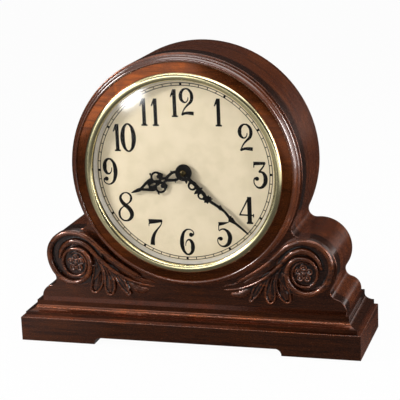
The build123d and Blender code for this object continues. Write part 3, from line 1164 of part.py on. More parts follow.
# Loudspeaker behind the sound holes, and its lead to the movement
RIM_BORE = SPEAKER_R - SPEAKER_RIM
CONE_LEDGE = SPEAKER_FACE + CONE_SHEET
LEDGE_R = RIM_BORE - 2 * SPEAKER_SHEET
BASKET_FRONT = SPEAKER_FACE - SPEAKER_DEPTH
BASKET_FLOOR = BASKET_FRONT + SPEAKER_SHEET
CONE_FLOOR = BASKET_FLOOR + CONE_CLEARANCE
CONE_EDGE = LEDGE_R - CONE_SHEET
with BuildPart() as speaker_frame:
    with BuildSketch(turning_plane(SPEAKER_Z)):
        with BuildLine():
            Polyline((SPEAKER_R, PANEL_FRONT), (SPEAKER_R, SPEAKER_FACE), (RIM_BORE, SPEAKER_FACE),
                     (SPEAKER_THROAT_R, BASKET_FRONT), (CONE_THROAT_R, BASKET_FRONT),
                     (CONE_THROAT_R, BASKET_FLOOR), (SPEAKER_THROAT_R - SPEAKER_SHEET, BASKET_FLOOR),
                     (LEDGE_R, SPEAKER_FACE - CONE_SHEET), (LEDGE_R, CONE_LEDGE), (RIM_BORE, CONE_LEDGE),
                     (RIM_BORE, PANEL_FRONT), close=True)
        make_face()
    revolve(axis=turning_axis(SPEAKER_Z))
    with Locations(rear_plane(SPEAKER_FACE, 0, SPEAKER_Z + SPEAKER_R - TAB_ROOT)):
        Box(TAB_WIDTH, TAB_RISE + TAB_ROOT, SPEAKER_FLANGE, align=(Align.CENTER, Align.MIN, Align.MIN))
    with Locations(*[rear_plane(SPEAKER_FACE, *place) for place in SPEAKER_SCREW_PLACES]):
        Cylinder(SPEAKER_SCREW_R + RUNNING, SPEAKER_FLANGE, align=LOW, mode=Mode.SUBTRACT)
save(speaker_frame, "speaker_frame")

with BuildPart() as speaker_cone:
    with BuildSketch(turning_plane(SPEAKER_Z)):
        with BuildLine():
            Polyline((RIM_BORE - SEAT, CONE_LEDGE), (RIM_BORE - SEAT, CONE_LEDGE + CONE_SHEET),
                     (CONE_EDGE, CONE_LEDGE + CONE_SHEET), (CONE_THROAT_R, CONE_FLOOR + CONE_SHEET),
                     (0, CONE_FLOOR + CONE_SHEET), (0, CONE_FLOOR), (CONE_THROAT_R, CONE_FLOOR),
                     (CONE_EDGE, CONE_LEDGE), close=True)
        make_face()
    revolve(axis=turning_axis(SPEAKER_Z))
save(speaker_cone, "speaker_cone")

with BuildPart() as speaker_magnet:
    with Locations(rear_plane(BASKET_FRONT, 0, SPEAKER_Z)):
        Cylinder(MAGNET_R, MAGNET_THICK, align=HIGH)
save(speaker_magnet, "speaker_magnet")

LEAD_X = MOVEMENT_HALF + LEAD_SIDE
LEAD_Z = SPEAKER_Z + SPEAKER_R + TAB_RISE / 2
LEAD_TURNS = (
    (0, FRONT_Y + SPEAKER_FACE, LEAD_Z),
    (0, FRONT_Y + SPEAKER_FACE - LEAD_RUN, LEAD_Z),
    (LEAD_X, FRONT_Y + BOARD_FRONT, LEAD_Z + LEAD_CLIMB),
    (LEAD_X, FRONT_Y + BOARD_FRONT, DIAL_Z + LEAD_HEIGHT),
    (MOVEMENT_HALF, FRONT_Y + BOARD_FRONT, DIAL_Z + LEAD_HEIGHT),
)
with BuildPart() as speaker_lead:
    with BuildLine() as lead_path:
        FilletPolyline(*LEAD_TURNS, radius=LEAD_BEND)
    with BuildSketch(Plane(origin=lead_path.line @ 0, z_dir=lead_path.line % 0)):
        Circle(LEAD_R)
    sweep(path=lead_path.line)
save(speaker_lead, "speaker_lead")
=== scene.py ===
"""Tambour mantel clock: finishes of the built pieces, and its printed, pressed, carved and turned ones."""
import json
import logging
import math
from contextlib import contextmanager
from dataclasses import dataclass, replace
from enum import Enum
from typing import Any, Iterable, Iterator, Optional, Sequence, Union

import bpy
from mathutils import Matrix, Vector


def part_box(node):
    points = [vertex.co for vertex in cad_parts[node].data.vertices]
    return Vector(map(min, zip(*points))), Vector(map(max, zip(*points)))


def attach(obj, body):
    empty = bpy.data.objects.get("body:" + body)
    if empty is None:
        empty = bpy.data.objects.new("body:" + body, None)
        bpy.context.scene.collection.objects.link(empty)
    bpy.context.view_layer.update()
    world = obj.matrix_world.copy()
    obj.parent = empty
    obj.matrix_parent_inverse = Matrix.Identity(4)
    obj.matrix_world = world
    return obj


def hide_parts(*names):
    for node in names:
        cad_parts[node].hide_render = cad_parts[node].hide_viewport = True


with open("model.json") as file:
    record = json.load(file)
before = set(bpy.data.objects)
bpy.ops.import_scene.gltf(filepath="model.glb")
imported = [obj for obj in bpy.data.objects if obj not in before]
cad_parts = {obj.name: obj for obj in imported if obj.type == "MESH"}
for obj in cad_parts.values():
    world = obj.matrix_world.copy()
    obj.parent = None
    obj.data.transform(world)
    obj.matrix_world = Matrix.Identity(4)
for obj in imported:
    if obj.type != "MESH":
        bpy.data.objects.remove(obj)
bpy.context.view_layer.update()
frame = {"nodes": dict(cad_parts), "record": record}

logging.basicConfig(level=logging.INFO, format="%(message)s")
LOG = logging.getLogger("mantel_clock")

MM = 0.001
# Height of the dial's axis, in mm and in metres
DIAL_UP = 165.0
DIAL_Z = DIAL_UP * MM
HALF_TURN = math.pi
FULL_TURN = 2 * math.pi

Colour = tuple[float, float, float]
Spot = tuple[float, float, float]
Point = tuple[float, float]
PenPoint = tuple[float, float, float]
SolidPoint = tuple[float, float, float, float]
BLACK: Colour = (0.0, 0.0, 0.0)
WHITE: Colour = (1.0, 1.0, 1.0)


class Grain(Enum):
    """Which way the grain of a board runs."""

    ALONG_X = "x"
    ALONG_Y = "y"
    ALONG_Z = "z"
    ROUND_DRUM = "round"


class Number:
    """A socket of a material that carries a number, with operators that add Math nodes."""

    def __init__(self, nodes: "Nodes", socket: bpy.types.NodeSocket) -> None:
        """Keep the socket and the material it belongs to."""
        self.nodes = nodes
        self.socket = socket

    def __add__(self, other: Any) -> "Number":
        """Sum."""
        return self.nodes.math("ADD", self, other)

    def __radd__(self, other: Any) -> "Number":
        """Sum, with the number on the left."""
        return self.nodes.math("ADD", other, self)

    def __sub__(self, other: Any) -> "Number":
        """Difference."""
        return self.nodes.math("SUBTRACT", self, other)

    def __rsub__(self, other: Any) -> "Number":
        """Difference, with the number on the left."""
        return self.nodes.math("SUBTRACT", other, self)

    def __mul__(self, other: Any) -> "Number":
        """Product."""
        return self.nodes.math("MULTIPLY", self, other)

    def __rmul__(self, other: Any) -> "Number":
        """Product, with the number on the left."""
        return self.nodes.math("MULTIPLY", other, self)


class Nodes:
    """The node tree of a material or of the world, with its shader at the end."""

    def __init__(self, owner: Union[bpy.types.Material, bpy.types.World], shader: str = "Principled BSDF",
                 place: str = "Object", **constants: Any) -> None:
        """Start a tree.

        Args:
            owner: the new material or world.
            shader: name of the shader that it starts with.
            place: which coordinates it follows.
            constants: values of the shader's own sockets, with underscores for spaces.
        """
        owner.use_nodes = True
        self.material = owner
        self.tree = owner.node_tree
        self.shader = self.tree.nodes[shader]
        for socket, value in constants.items():
            self.shader.inputs[socket.replace("_", " ").title().replace("Ior", "IOR")].default_value = value
        self.place = self.add("ShaderNodeTexCoord").outputs[place]

    @classmethod
    def named(cls, name: str, **constants: Any) -> "Nodes":
        """Tree of a new material with this name."""
        return cls(bpy.data.materials.new(name), **constants)

    def add(self, kind: str, settings: Optional[dict] = None,
            inputs: Optional[dict] = None) -> bpy.types.Node:
        """Add a node.

        Args:
            kind: the node's type.
            settings: the node's own settings.
            inputs: values or links of its sockets, by name or number.

        Returns:
            The node.
        """
        node = self.tree.nodes.new(kind)
        for key, value in (settings or {}).items():
            setattr(node, key, value)
        for key, value in (inputs or {}).items():
            self.feed(node.inputs[key], value)
        return node

    def feed(self, socket: bpy.types.NodeSocket, value: Any) -> None:
        """Link a socket to another, or set its value.

        Args:
            socket: the socket that takes it.
            value: a Number, a socket, a number, a vector or a colour.
        """
        if isinstance(value, Number):
            value = value.socket
        if isinstance(value, bpy.types.NodeSocket):
            self.tree.links.new(value, socket)
        elif socket.type == "RGBA" and len(value) == 3:
            socket.default_value = (*value, 1.0)
        else:
            socket.default_value = value

    def math(self, operation: str, left: Any, right: Any = 0.0) -> Number:
        """Result of a Math node on two values."""
        node = self.add("ShaderNodeMath", {"operation": operation}, {0: left, 1: right})
        return Number(self, node.outputs[0])

    def ray(self, kind: str) -> Number:
        """Whether the light's path is of a kind, such as Camera or Glossy."""
        return Number(self, self.add("ShaderNodeLightPath").outputs[f"Is {kind} Ray"])

    def between(self, value: Any, low: float, high: float) -> Number:
        """Smooth step from 0 at low to 1 at high.

        Args:
            value: the value that is read.
            low: where the step starts.
            high: where the step ends.

        Returns:
            The step's value.
        """
        settings = {"interpolation_type": "SMOOTHSTEP"}
        node = self.add("ShaderNodeMapRange", settings, {0: value, 1: low, 2: high, 3: 0.0, 4: 1.0})
        return Number(self, node.outputs[0])

    def axis(self, letter: str) -> Number:
        """One coordinate of the object, in metres."""
        return Number(self, self.add("ShaderNodeSeparateXYZ", None, {0: self.place}).outputs[letter.upper()])

    def radius(self) -> Number:
        """Distance from the dial's axis.

        Returns:
            The distance, in metres.
        """
        across = self.axis("x")
        up = self.axis("z") - DIAL_Z
        return self.math("SQRT", across * across + up * up)

    def stretched(self, scale: Sequence[float]) -> bpy.types.NodeSocket:
        """The object's coordinates, multiplied by a scale for each axis."""
        inputs = {0: self.place, 1: tuple(scale)}
        return self.add("ShaderNodeVectorMath", {"operation": "MULTIPLY"}, inputs).outputs[0]

    def noise(self, place: Any, scale: float, detail: float = 2.0, roughness: float = 0.5,
              distortion: float = 0.0) -> Number:
        """Noise texture.

        Args:
            place: the coordinates it follows.
            scale: how many lumps to a unit.
            detail: how many finer layers.
            roughness: how strong the finer layers are.
            distortion: how far it is pulled about.

        Returns:
            Its value, about 0 to 1.
        """
        inputs = {"Vector": place, "Scale": scale, "Detail": detail, "Roughness": roughness,
                  "Distortion": distortion}
        return Number(self, self.add("ShaderNodeTexNoise", None, inputs).outputs[0])

    def mix(self, factor: Any, first: Any, second: Any) -> bpy.types.NodeSocket:
        """Mix of two colours, where the factor is the share of the second."""
        settings = {"data_type": "RGBA", "clamp_factor": True}
        return self.add("ShaderNodeMix", settings, {0: factor, 6: first, 7: second}).outputs[2]

    def bump(self, height: Any, strength: float, distance: float) -> None:
        """Feed the shader's normal from a height of 0 to 1, which is a distance in metres at 1."""
        inputs = {"Strength": strength, "Distance": distance, "Height": height}
        self.feed(self.shader.inputs["Normal"], self.add("ShaderNodeBump", None, inputs).outputs[0])

    def set(self, socket: str, value: Any) -> None:
        """Feed one of the shader's sockets."""
        self.feed(self.shader.inputs[socket], value)


@dataclass(frozen=True)
class Wood:
    """Stained cherry under gloss lacquer: straight grain, pores, and a figure that catches the light.

    Attributes:
        name: the finish's name.
        grain: which way the grain runs.
        deep: colour of the dark streaks and pores, and of the painted shade in a carving's hollows.
        body: colour of most of the wood.
        glow: colour of the figure where the stain is thin.
        lacquer: weight of the clear coat.
        figure: share of the glowing figure.
        sheen: share of the light that the figure throws back as a metal would.
        rough: roughness of the wood under the lacquer.
        bead: radius round the dial's axis from which a turned bead is darkened with painted shade under full
            lacquer, in metres.
        carved: whether the piece is carved, with its hollows marked in an attribute and darkened as painted
            shade.
    """

    name: str
    grain: Grain
    deep: Colour = (0.050, 0.0145, 0.0070)
    body: Colour = (0.125, 0.0340, 0.0120)
    glow: Colour = (0.30, 0.077, 0.0200)
    lacquer: float = 0.9
    figure: float = 0.7
    sheen: float = 0.95
    rough: float = 0.20
    bead: Optional[float] = None
    carved: bool = False

    DRAWN = 0.06
    STRETCH = {
        Grain.ALONG_X: (DRAWN, 1.0, 1.0),
        Grain.ALONG_Y: (1.0, DRAWN, 1.0),
        Grain.ALONG_Z: (1.0, 1.0, DRAWN),
    }
    DRUM_R = 0.105
    # Lumps to a metre of each layer of the pattern
    STREAKS = 260.0
    FIBRES = 1900.0
    PORES = 3200.0
    FIGURE = 26.0
    # Softness of the bead's border in metres, its painted shade, and the attribute that marks a carving's
    # hollows for painted shade
    BEAD_EDGE = 0.0004
    BEAD_PAINTED_SHADE = (0.036, 0.0095, 0.0040)
    HOLLOW_SHADE = "hollows"

    def along(self, nodes: Nodes) -> bpy.types.NodeSocket:
        """Coordinates drawn out along the grain.

        Args:
            nodes: the material.

        Returns:
            The coordinates' socket.
        """
        if self.grain is not Grain.ROUND_DRUM:
            return nodes.stretched(self.STRETCH[self.grain])
        around = nodes.math("ARCTAN2", nodes.axis("x"), nodes.axis("z") - DIAL_Z)
        turn = around * (self.DRUM_R * self.DRAWN)
        inputs = {"X": turn, "Y": nodes.axis("y"), "Z": nodes.radius()}
        return nodes.add("ShaderNodeCombineXYZ", None, inputs).outputs[0]

    def build(self) -> bpy.types.Material:
        """Make the material.

        Returns:
            The material.
        """
        nodes = Nodes.named(self.name, ior=1.5, coat_weight=self.lacquer, coat_roughness=0.08, coat_ior=1.5)
        along = self.along(nodes)
        streaks = nodes.noise(along, self.STREAKS, 4.0, 0.62, 0.6)
        fibres = nodes.noise(along, self.FIBRES, 2.0, 0.6)
        pores = nodes.between(nodes.noise(along, self.PORES, 1.0, 0.5), 0.60, 0.72)
        figure = nodes.between(nodes.noise(nodes.place, self.FIGURE, 3.0, 0.6, 1.2), 0.40, 0.72)
        sheen = self.sheen * (0.88 + figure * 0.12)
        ground = nodes.mix(nodes.between(streaks, 0.22, 0.62), self.deep, self.body)
        ground = nodes.mix(figure * self.figure * nodes.between(streaks, 0.25, 0.70), ground, self.glow)
        ground = nodes.mix(nodes.between(fibres, 0.52, 0.78) * 0.18, ground, self.glow)
        ground = nodes.mix(pores * 0.3, ground, self.deep)
        if self.carved:
            # Painted shade: where the attribute marks hollows, the colour darkens to the deep colour
            marked = nodes.add("ShaderNodeAttribute", {"attribute_name": self.HOLLOW_SHADE}).outputs["Fac"]
            ground = nodes.mix(1.0 - nodes.between(marked, 0.10, 0.60), ground, self.deep)
        # Painted shade on the turned bead: full lacquer, less sheen, and its colour darkened towards the
        # bead's shade
        if self.bead:
            turned = nodes.between(nodes.radius(), self.bead - self.BEAD_EDGE, self.bead + self.BEAD_EDGE)
            nodes.set("Coat Weight", self.lacquer + turned * (1.0 - self.lacquer))
            sheen = sheen * (1.0 - turned * 0.9)
            ground = nodes.mix(turned * 0.8, ground, self.BEAD_PAINTED_SHADE)
        nodes.set("Base Color", ground)
        nodes.set("Metallic", sheen)
        nodes.set("Roughness", self.rough + pores * 0.15 + fibres * 0.06)
        nodes.bump(1.0 - pores * 0.5, 0.05, 0.00005)
        return nodes.material


@dataclass(frozen=True)
class Metal:
    """Polished or brushed metal.

    Attributes:
        name: the finish's name.
        colour: the metal's colour.
        dull: colour of the slightly tarnished patches.
        rough: its lowest roughness.
        spread: how much rougher the patches are.
        brushed: whether fine turning marks run round the dial's axis.
        metallic: how far it is bare metal rather than lacquer and tarnish.
    """

    name: str
    colour: Colour
    dull: Colour
    rough: float
    spread: float = 0.08
    brushed: bool = False
    metallic: float = 1.0

    # Lumps to a metre of each layer of the pattern
    PATCHES = 55.0
    SPECKS = 900.0
    RINGS = 5200.0
    # Depth of the finest marks, in metres
    SCRATCH = 0.00002

    def build(self) -> bpy.types.Material:
        """Make the material.

        Returns:
            The material.
        """
        nodes = Nodes.named(self.name, metallic=self.metallic)
        patches = nodes.noise(nodes.place, self.PATCHES, 4.0, 0.6)
        specks = nodes.noise(nodes.place, self.SPECKS, 2.0, 0.6)
        nodes.set("Base Color", nodes.mix(nodes.between(patches, 0.42, 0.78) * 0.6, self.colour, self.dull))
        nodes.set("Roughness", self.rough + patches * self.spread + nodes.between(specks, 0.6, 0.8) * 0.06)
        if self.brushed:
            outwards = nodes.add("ShaderNodeCombineXYZ", None, {"X": nodes.radius()}).outputs[0]
            nodes.bump(nodes.noise(outwards, self.RINGS, 2.0), 0.08, self.SCRATCH)
        else:
            nodes.bump(specks, 0.05, self.SCRATCH)
        return nodes.material


@dataclass(frozen=True)
class Moulded:
    """Moulded plastic, rubber, board or paper: one colour with a fine tooth.

    Attributes:
        name: the finish's name.
        colour: its colour.
        shade: colour of its darker mottle.
        rough: its roughness.
        tooth: size of the surface's grain, in lumps to a metre.
        depth: height of the grain in metres.
        mottle: share of the darker mottle.
        gloss: strength of its reflection.
    """

    name: str
    colour: Colour
    shade: Colour
    rough: float
    tooth: float = 1800.0
    depth: float = 0.00003
    mottle: float = 0.5
    gloss: float = 0.5

    # Lumps to a metre of the mottle
    PATCHES = 70.0

    def build(self) -> bpy.types.Material:
        """Make the material.

        Returns:
            The material.
        """
        nodes = Nodes.named(self.name, specular_ior_level=self.gloss)
        patches = nodes.noise(nodes.place, self.PATCHES, 4.0, 0.6)
        tooth = nodes.noise(nodes.place, self.tooth, 3.0, 0.6)
        shaded = nodes.between(patches, 0.35, 0.7) * self.mottle
        nodes.set("Base Color", nodes.mix(shaded, self.colour, self.shade))
        nodes.set("Roughness", self.rough + tooth * 0.12)
        nodes.bump(tooth, 0.3, self.depth)
        return nodes.material


@dataclass(frozen=True)
class Glass:
    """Clear convex glass: only its reflection shows, and the dial behind keeps its light.

    Attributes:
        name: the finish's name.
        rough: roughness of the reflection.
        bend: index of refraction that sets how strong the reflection is.
    """

    name: str
    rough: float = 0.10
    bend: float = 1.15

    # Lumps to a metre of the smears
    SMEARS = 40.0

    def build(self) -> bpy.types.Material:
        """Make the material.

        Returns:
            The material.
        """
        nodes = Nodes.named(self.name, metallic=1.0, base_color=(1.0, 1.0, 1.0, 1.0))
        smear = nodes.noise(nodes.place, self.SMEARS, 3.0, 0.5)
        nodes.set("Roughness", self.rough + smear * 0.01)
        fresnel = Number(nodes, nodes.add("ShaderNodeFresnel", None, {"IOR": self.bend}).outputs[0])
        inside = Number(nodes, nodes.add("ShaderNodeNewGeometry").outputs["Backfacing"])
        nodes.set("Alpha", fresnel * (1.0 - inside))
        return nodes.material


class Bench:
    """The modelling operators, as they are used by hand."""

    MERGE = 1e-6

    @staticmethod
    def clear() -> None:
        """Leave edit mode and deselect everything."""
        if bpy.context.object and bpy.context.object.mode != "OBJECT":
            bpy.ops.object.mode_set(mode="OBJECT")
        bpy.ops.object.select_all(action="DESELECT")

    @classmethod
    def take(cls, *objects: bpy.types.Object) -> bpy.types.Object:
        """Select these objects alone, with the first one active.

        Args:
            objects: the objects.

        Returns:
            The active object.
        """
        cls.clear()
        for piece in objects:
            piece.select_set(True)
        bpy.context.view_layer.objects.active = objects[0]
        return objects[0]

    @classmethod
    def apply(cls, piece: bpy.types.Object, kind: str, **settings: Any) -> None:
        """Add a modifier and apply it.

        Args:
            piece: the object.
            kind: the modifier's type.
            settings: its settings.
        """
        cls.take(piece)
        modifier = piece.modifiers.new(kind.title(), kind)
        for key, value in settings.items():
            setattr(modifier, key, value)
        bpy.ops.object.modifier_apply(modifier=modifier.name)

    @classmethod
    def join(cls, name: str, pieces: Sequence[bpy.types.Object]) -> bpy.types.Object:
        """Join objects into one.

        Args:
            name: the name of the whole.
            pieces: the objects.

        Returns:
            The joined object.
        """
        whole = cls.take(*pieces)
        if len(pieces) > 1:
            bpy.ops.object.join()
        whole.name = name
        whole.data.name = name
        return whole

    @classmethod
    @contextmanager
    def editing(cls, piece: bpy.types.Object) -> Iterator[None]:
        """Open an object's mesh with all of it selected, and close it at the end.

        Args:
            piece: the object.

        Yields:
            Nothing; the mesh is open meanwhile.
        """
        cls.take(piece)
        bpy.ops.object.mode_set(mode="EDIT")
        bpy.ops.mesh.select_all(action="SELECT")
        yield
        bpy.ops.object.mode_set(mode="OBJECT")

    @classmethod
    def settle(cls, piece: bpy.types.Object) -> None:
        """Put an object's place in its mesh, merge doubles and turn its faces outwards.

        Args:
            piece: the object.
        """
        cls.take(piece)
        bpy.ops.object.transform_apply(location=True, rotation=True, scale=True)
        with cls.editing(piece):
            bpy.ops.mesh.remove_doubles(threshold=cls.MERGE)
            bpy.ops.mesh.normals_make_consistent(inside=False)

    @classmethod
    def cut(cls, piece: bpy.types.Object, level: float) -> None:
        """Cut away what lies behind a level along Y, in metres, and close the cut."""
        with cls.editing(piece):
            bpy.ops.mesh.bisect(plane_co=(0.0, level, 0.0), plane_no=(0.0, 1.0, 0.0), use_fill=True,
                                clear_outer=True)

    @classmethod
    def smooth(cls, piece: bpy.types.Object, angle: float = 35.0) -> None:
        """Shade an object smooth up to an angle, in degrees."""
        cls.take(piece)
        bpy.ops.object.shade_smooth_by_angle(angle=math.radians(angle))

    @classmethod
    def spline(cls, kind: str, count: int) -> bpy.types.Spline:
        """Add a curve, which becomes the active object, with one new spline.

        Args:
            kind: the spline's type.
            count: how many points it has.

        Returns:
            The spline.
        """
        cls.clear()
        bpy.ops.curve.primitive_bezier_curve_add()
        splines = bpy.context.object.data.splines
        splines.clear()
        spline = splines.new(kind)
        points = spline.bezier_points if kind == "BEZIER" else spline.points
        points.add(count - 1)
        return spline


def dress(piece: bpy.types.Object, material: bpy.types.Material) -> None:
    """Give a piece one material."""
    piece.data.materials.clear()
    piece.data.materials.append(material)


def mount(piece: bpy.types.Object, material: bpy.types.Material, body: str,
          node: Optional[str] = None) -> bpy.types.Object:
    """Dress a new piece, hang it on the body that it moves with, and hide the built piece that it replaces.

    Args:
        piece: the object.
        material: its material.
        body: the body that it moves with.
        node: the built piece that it replaces, if it replaces one.

    Returns:
        The object.
    """
    dress(piece, material)
    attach(piece, body)
    if node:
        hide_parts(node)
    return piece


@dataclass(frozen=True)
class Stroke:
    """A line drawn by a pen whose width changes.

    Attributes:
        points: across, up and half width at each point, in mm.
        closed: whether the line runs back into its start.
        straight: whether the line has corners at its points.
    """

    points: tuple[PenPoint, ...]
    closed: bool = False
    straight: bool = False


@dataclass(frozen=True)
class Dot:
    """A round spot: its centre and radius, in mm."""

    across: float
    up: float
    radius: float


@dataclass
class Moulding:
    """Tubes and balls that grow together into one skin.

    Attributes:
        name: the piece's name.
        voxel: size of the skin's cells, in mm.
    """

    name: str
    voxel: float

    def __post_init__(self) -> None:
        """Start with nothing."""
        self.solids: list[bpy.types.Object] = []

    def tube(self, points: Iterable[SolidPoint], closed: bool = False, straight: bool = False,
             flat: float = 1.0, floor: float = 0.0) -> None:
        """Add a tube along a line.

        Args:
            points: place and radius at each point, in mm.
            closed: whether the line runs back into its start.
            straight: whether it has corners at its points.
            flat: its depth along Y as a share of its width.
            floor: the level along Y that flattening keeps, in mm.
        """
        route = list(points)
        spline = Bench.spline("BEZIER", len(route))
        handle = "VECTOR" if straight else "AUTO"
        for knot, (x, y, z, radius) in zip(spline.bezier_points, route):
            knot.co = Vector((x, y, z)) * MM
            knot.radius = radius
            knot.handle_left_type = handle
            knot.handle_right_type = handle
        spline.use_cyclic_u = closed
        curve = bpy.context.object.data
        curve.dimensions = "3D"
        curve.resolution_u = 10
        curve.bevel_depth = MM
        curve.bevel_resolution = 4
        curve.use_fill_caps = True
        bpy.ops.object.convert(target="MESH")
        piece = bpy.context.object
        Bench.settle(piece)
        if flat != 1.0:
            with Bench.editing(piece):
                bpy.ops.transform.resize(value=(1.0, flat, 1.0), center_override=(0.0, floor * MM, 0.0))
        self.solids.append(piece)

    def ball(self, place: SolidPoint) -> None:
        """Add a ball.

        Args:
            place: its centre and radius, in mm.
        """
        Bench.clear()
        bpy.ops.mesh.primitive_ico_sphere_add(subdivisions=4, radius=place[3] * MM,
                                              location=Vector(place[:3]) * MM)
        Bench.settle(bpy.context.object)
        self.solids.append(bpy.context.object)

    def grow(self) -> bpy.types.Object:
        """Join the solids under one skin.

        Returns:
            The piece.
        """
        piece = Bench.join(self.name, self.solids)
        Bench.apply(piece, "REMESH", mode="VOXEL", voxel_size=self.voxel * MM)
        return piece


@dataclass
class Pressing:
    """A flat piece drawn with strokes, of one thickness, upright behind the glass.

    Attributes:
        name: the piece's name.
        front: its front level along Y, in metres.
        back: its back level along Y, in metres.
        voxel: size of the cells that its outline is made of, in mm.
        weight: how bold its strokes are.
    """

    name: str
    front: float
    back: float
    voxel: float = 0.16
    weight: float = 1.0

    SLICE = 0.2

    def __post_init__(self) -> None:
        """Start with nothing drawn."""
        self.moulding = Moulding(self.name, self.voxel)
        self.level = (self.front + self.back) / 2 / MM

    def draw(self, shapes: Sequence[Union[Stroke, Dot]], origin: Point, turn: float = 0.0) -> None:
        """Draw shapes about a point.

        Args:
            shapes: strokes and dots in their own frame.
            origin: where that frame's origin lies, across and up, in mm.
            turn: how far the frame is turned clockwise, in radians.
        """
        cos, sin = math.cos(turn), math.sin(turn)

        def put(u: float, v: float) -> Point:
            """Point of the shape's own frame on the dial."""
            return (origin[0] + u * cos + v * sin, origin[1] - u * sin + v * cos)

        for shape in shapes:
            if isinstance(shape, Dot):
                x, z = put(shape.across, shape.up)
                self.moulding.ball((x, self.level, z, shape.radius))
                continue
            points = []
            for u, v, half in shape.points:
                x, z = put(u, v)
                points.append((x, self.level, z, half * self.weight))
            self.moulding.tube(points, shape.closed, shape.straight)

    def press(self) -> bpy.types.Object:
        """Grow the drawn shapes together and keep a slice of them.

        Returns:
            The piece.
        """
        piece = self.moulding.grow()
        Bench.clear()
        bpy.ops.mesh.primitive_cube_add(size=1.0, location=(0.0, self.level * MM, DIAL_Z),
                                        scale=(self.SLICE, self.back - self.front, self.SLICE))
        slab = bpy.context.object
        Bench.settle(slab)
        Bench.apply(piece, "BOOLEAN", operation="INTERSECT", solver="MANIFOLD", object=slab)
        Bench.take(slab)
        bpy.ops.object.delete()
        Bench.settle(piece)
        Bench.smooth(piece)
        return piece


def bar(start: PenPoint, end: PenPoint) -> Stroke:
    """Straight stroke between two pen points."""
    return Stroke((start, end), straight=True)


ONE = (
    bar((0.0, 0.0, 1.5), (0.0, 25.2, 1.5)),
    bar((-2.9, 0.7, 0.7), (2.9, 0.7, 0.7)),
    bar((-0.6, 24.6, 1.0), (-3.6, 18.2, 0.5)),
)
TWO = (
    Stroke(((1.8, 17.0, 0.35), (1.3, 14.5, 0.45), (-1.0, 12.4, 0.6), (-4.0, 14.2, 1.2), (-5.1, 18.2, 1.6),
            (-3.6, 22.8, 1.1), (0.0, 24.8, 0.6), (3.8, 22.6, 1.1), (5.3, 17.8, 1.4), (4.2, 13.2, 1.2),
            (1.2, 10.2, 0.9), (-1.8, 6.8, 0.6), (-3.8, 3.0, 0.5), (-4.6, 0.8, 0.7))),
    Stroke(((-4.7, 1.2, 0.9), (-1.0, 2.6, 1.1), (3.0, 2.7, 1.4), (6.6, 2.4, 1.5))),
)
THREE = (
    bar((-6.1, 23.2, 1.5), (4.8, 23.6, 1.1)),
    bar((-5.6, 22.5, 0.6), (-5.8, 19.4, 0.35)),
    Stroke(((4.9, 24.2, 0.5), (2.2, 19.6, 0.65), (-1.2, 15.5, 0.7))),
    Stroke(((-1.4, 15.3, 0.5), (1.6, 15.4, 0.9), (4.0, 12.8, 1.5), (4.75, 8.8, 1.75), (3.4, 3.9, 1.5),
            (-0.8, 1.0, 0.95), (-4.6, 3.0, 0.5), (-6.0, 6.8, 0.5), (-5.0, 9.8, 0.6), (-3.6, 9.9, 0.9))),
    Dot(-3.1, 9.3, 1.9),
)
FOUR = (
    bar((0.0, 0.0, 1.75), (0.0, 25.1, 1.75)),
    bar((-2.9, 0.8, 0.8), (3.1, 0.8, 0.8)),
    Stroke(((-0.6, 24.6, 0.6), (-4.5, 17.0, 0.6), (-9.2, 8.2, 0.5)), straight=True),
    bar((-9.6, 8.3, 0.7), (3.6, 7.9, 0.55)),
    bar((3.6, 9.5, 0.45), (3.6, 6.2, 0.45)),
)
FIVE = (
    Stroke(((-4.9, 21.6, 1.7), (-0.5, 22.3, 1.2), (4.9, 23.6, 0.25)), straight=True),
    bar((-4.8, 21.0, 0.4), (-4.9, 15.6, 0.4)),
    Stroke(((-4.7, 15.2, 0.45), (-1.6, 17.0, 0.6), (1.6, 16.3, 1.0), (5.0, 12.0, 1.75), (5.0, 6.0, 1.8),
            (2.4, 2.0, 1.3), (-1.6, 0.7, 0.7), (-4.6, 2.2, 0.5), (-6.2, 5.4, 0.45), (-5.5, 8.2, 0.5),
            (-4.2, 8.9, 0.8))),
    Dot(-3.2, 7.9, 1.9),
)
SIX = (
    Stroke(((5.4, 19.2, 0.8), (6.3, 21.0, 0.5), (5.0, 23.5, 0.45), (1.4, 24.7, 0.55), (-2.2, 22.8, 0.95),
            (-4.6, 17.5, 1.5), (-5.2, 12.0, 1.8), (-4.7, 7.4, 1.6), (-3.1, 3.3, 1.1), (0.2, 0.8, 0.75),
            (3.6, 2.7, 1.2), (5.0, 7.6, 1.75), (4.0, 13.0, 1.35), (1.6, 14.8, 0.8), (-0.8, 13.2, 0.5),
            (-1.9, 8.8, 0.3))),
    Dot(3.8, 19.6, 2.0),
)
SEVEN = (
    Stroke(((-6.5, 22.4, 2.1), (0.0, 22.9, 1.7), (6.6, 23.6, 1.1)), straight=True),
    bar((-6.3, 21.0, 0.4), (-6.4, 18.0, 0.3)),
    Stroke(((6.2, 23.4, 0.5), (5.2, 19.9, 0.45), (1.7, 15.4, 0.7), (-1.1, 11.4, 1.2), (-3.0, 6.4, 1.6),
            (-3.7, 0.2, 1.95))),
)
EIGHT = (
    Stroke(((0.1, 27.3, 0.5), (-4.7, 23.2, 1.05), (-3.8, 19.2, 1.5), (-0.9, 15.9, 1.7), (3.1, 12.5, 1.8),
            (5.5, 7.7, 1.8), (4.6, 3.7, 1.4), (-0.4, 0.65, 0.65), (-4.9, 2.7, 0.75), (-6.5, 7.2, 1.0),
            (-5.2, 11.3, 0.75), (-2.8, 13.7, 0.5), (0.1, 16.1, 0.5), (3.3, 17.9, 0.6), (5.5, 21.6, 1.05),
            (4.7, 25.3, 0.8)), closed=True),
)
NOUGHT_HALF = (5.35, 12.65)
NOUGHT_UP = 13.3
NOUGHT_PEN = (1.95, 0.7)
NOUGHT_STEPS = 12
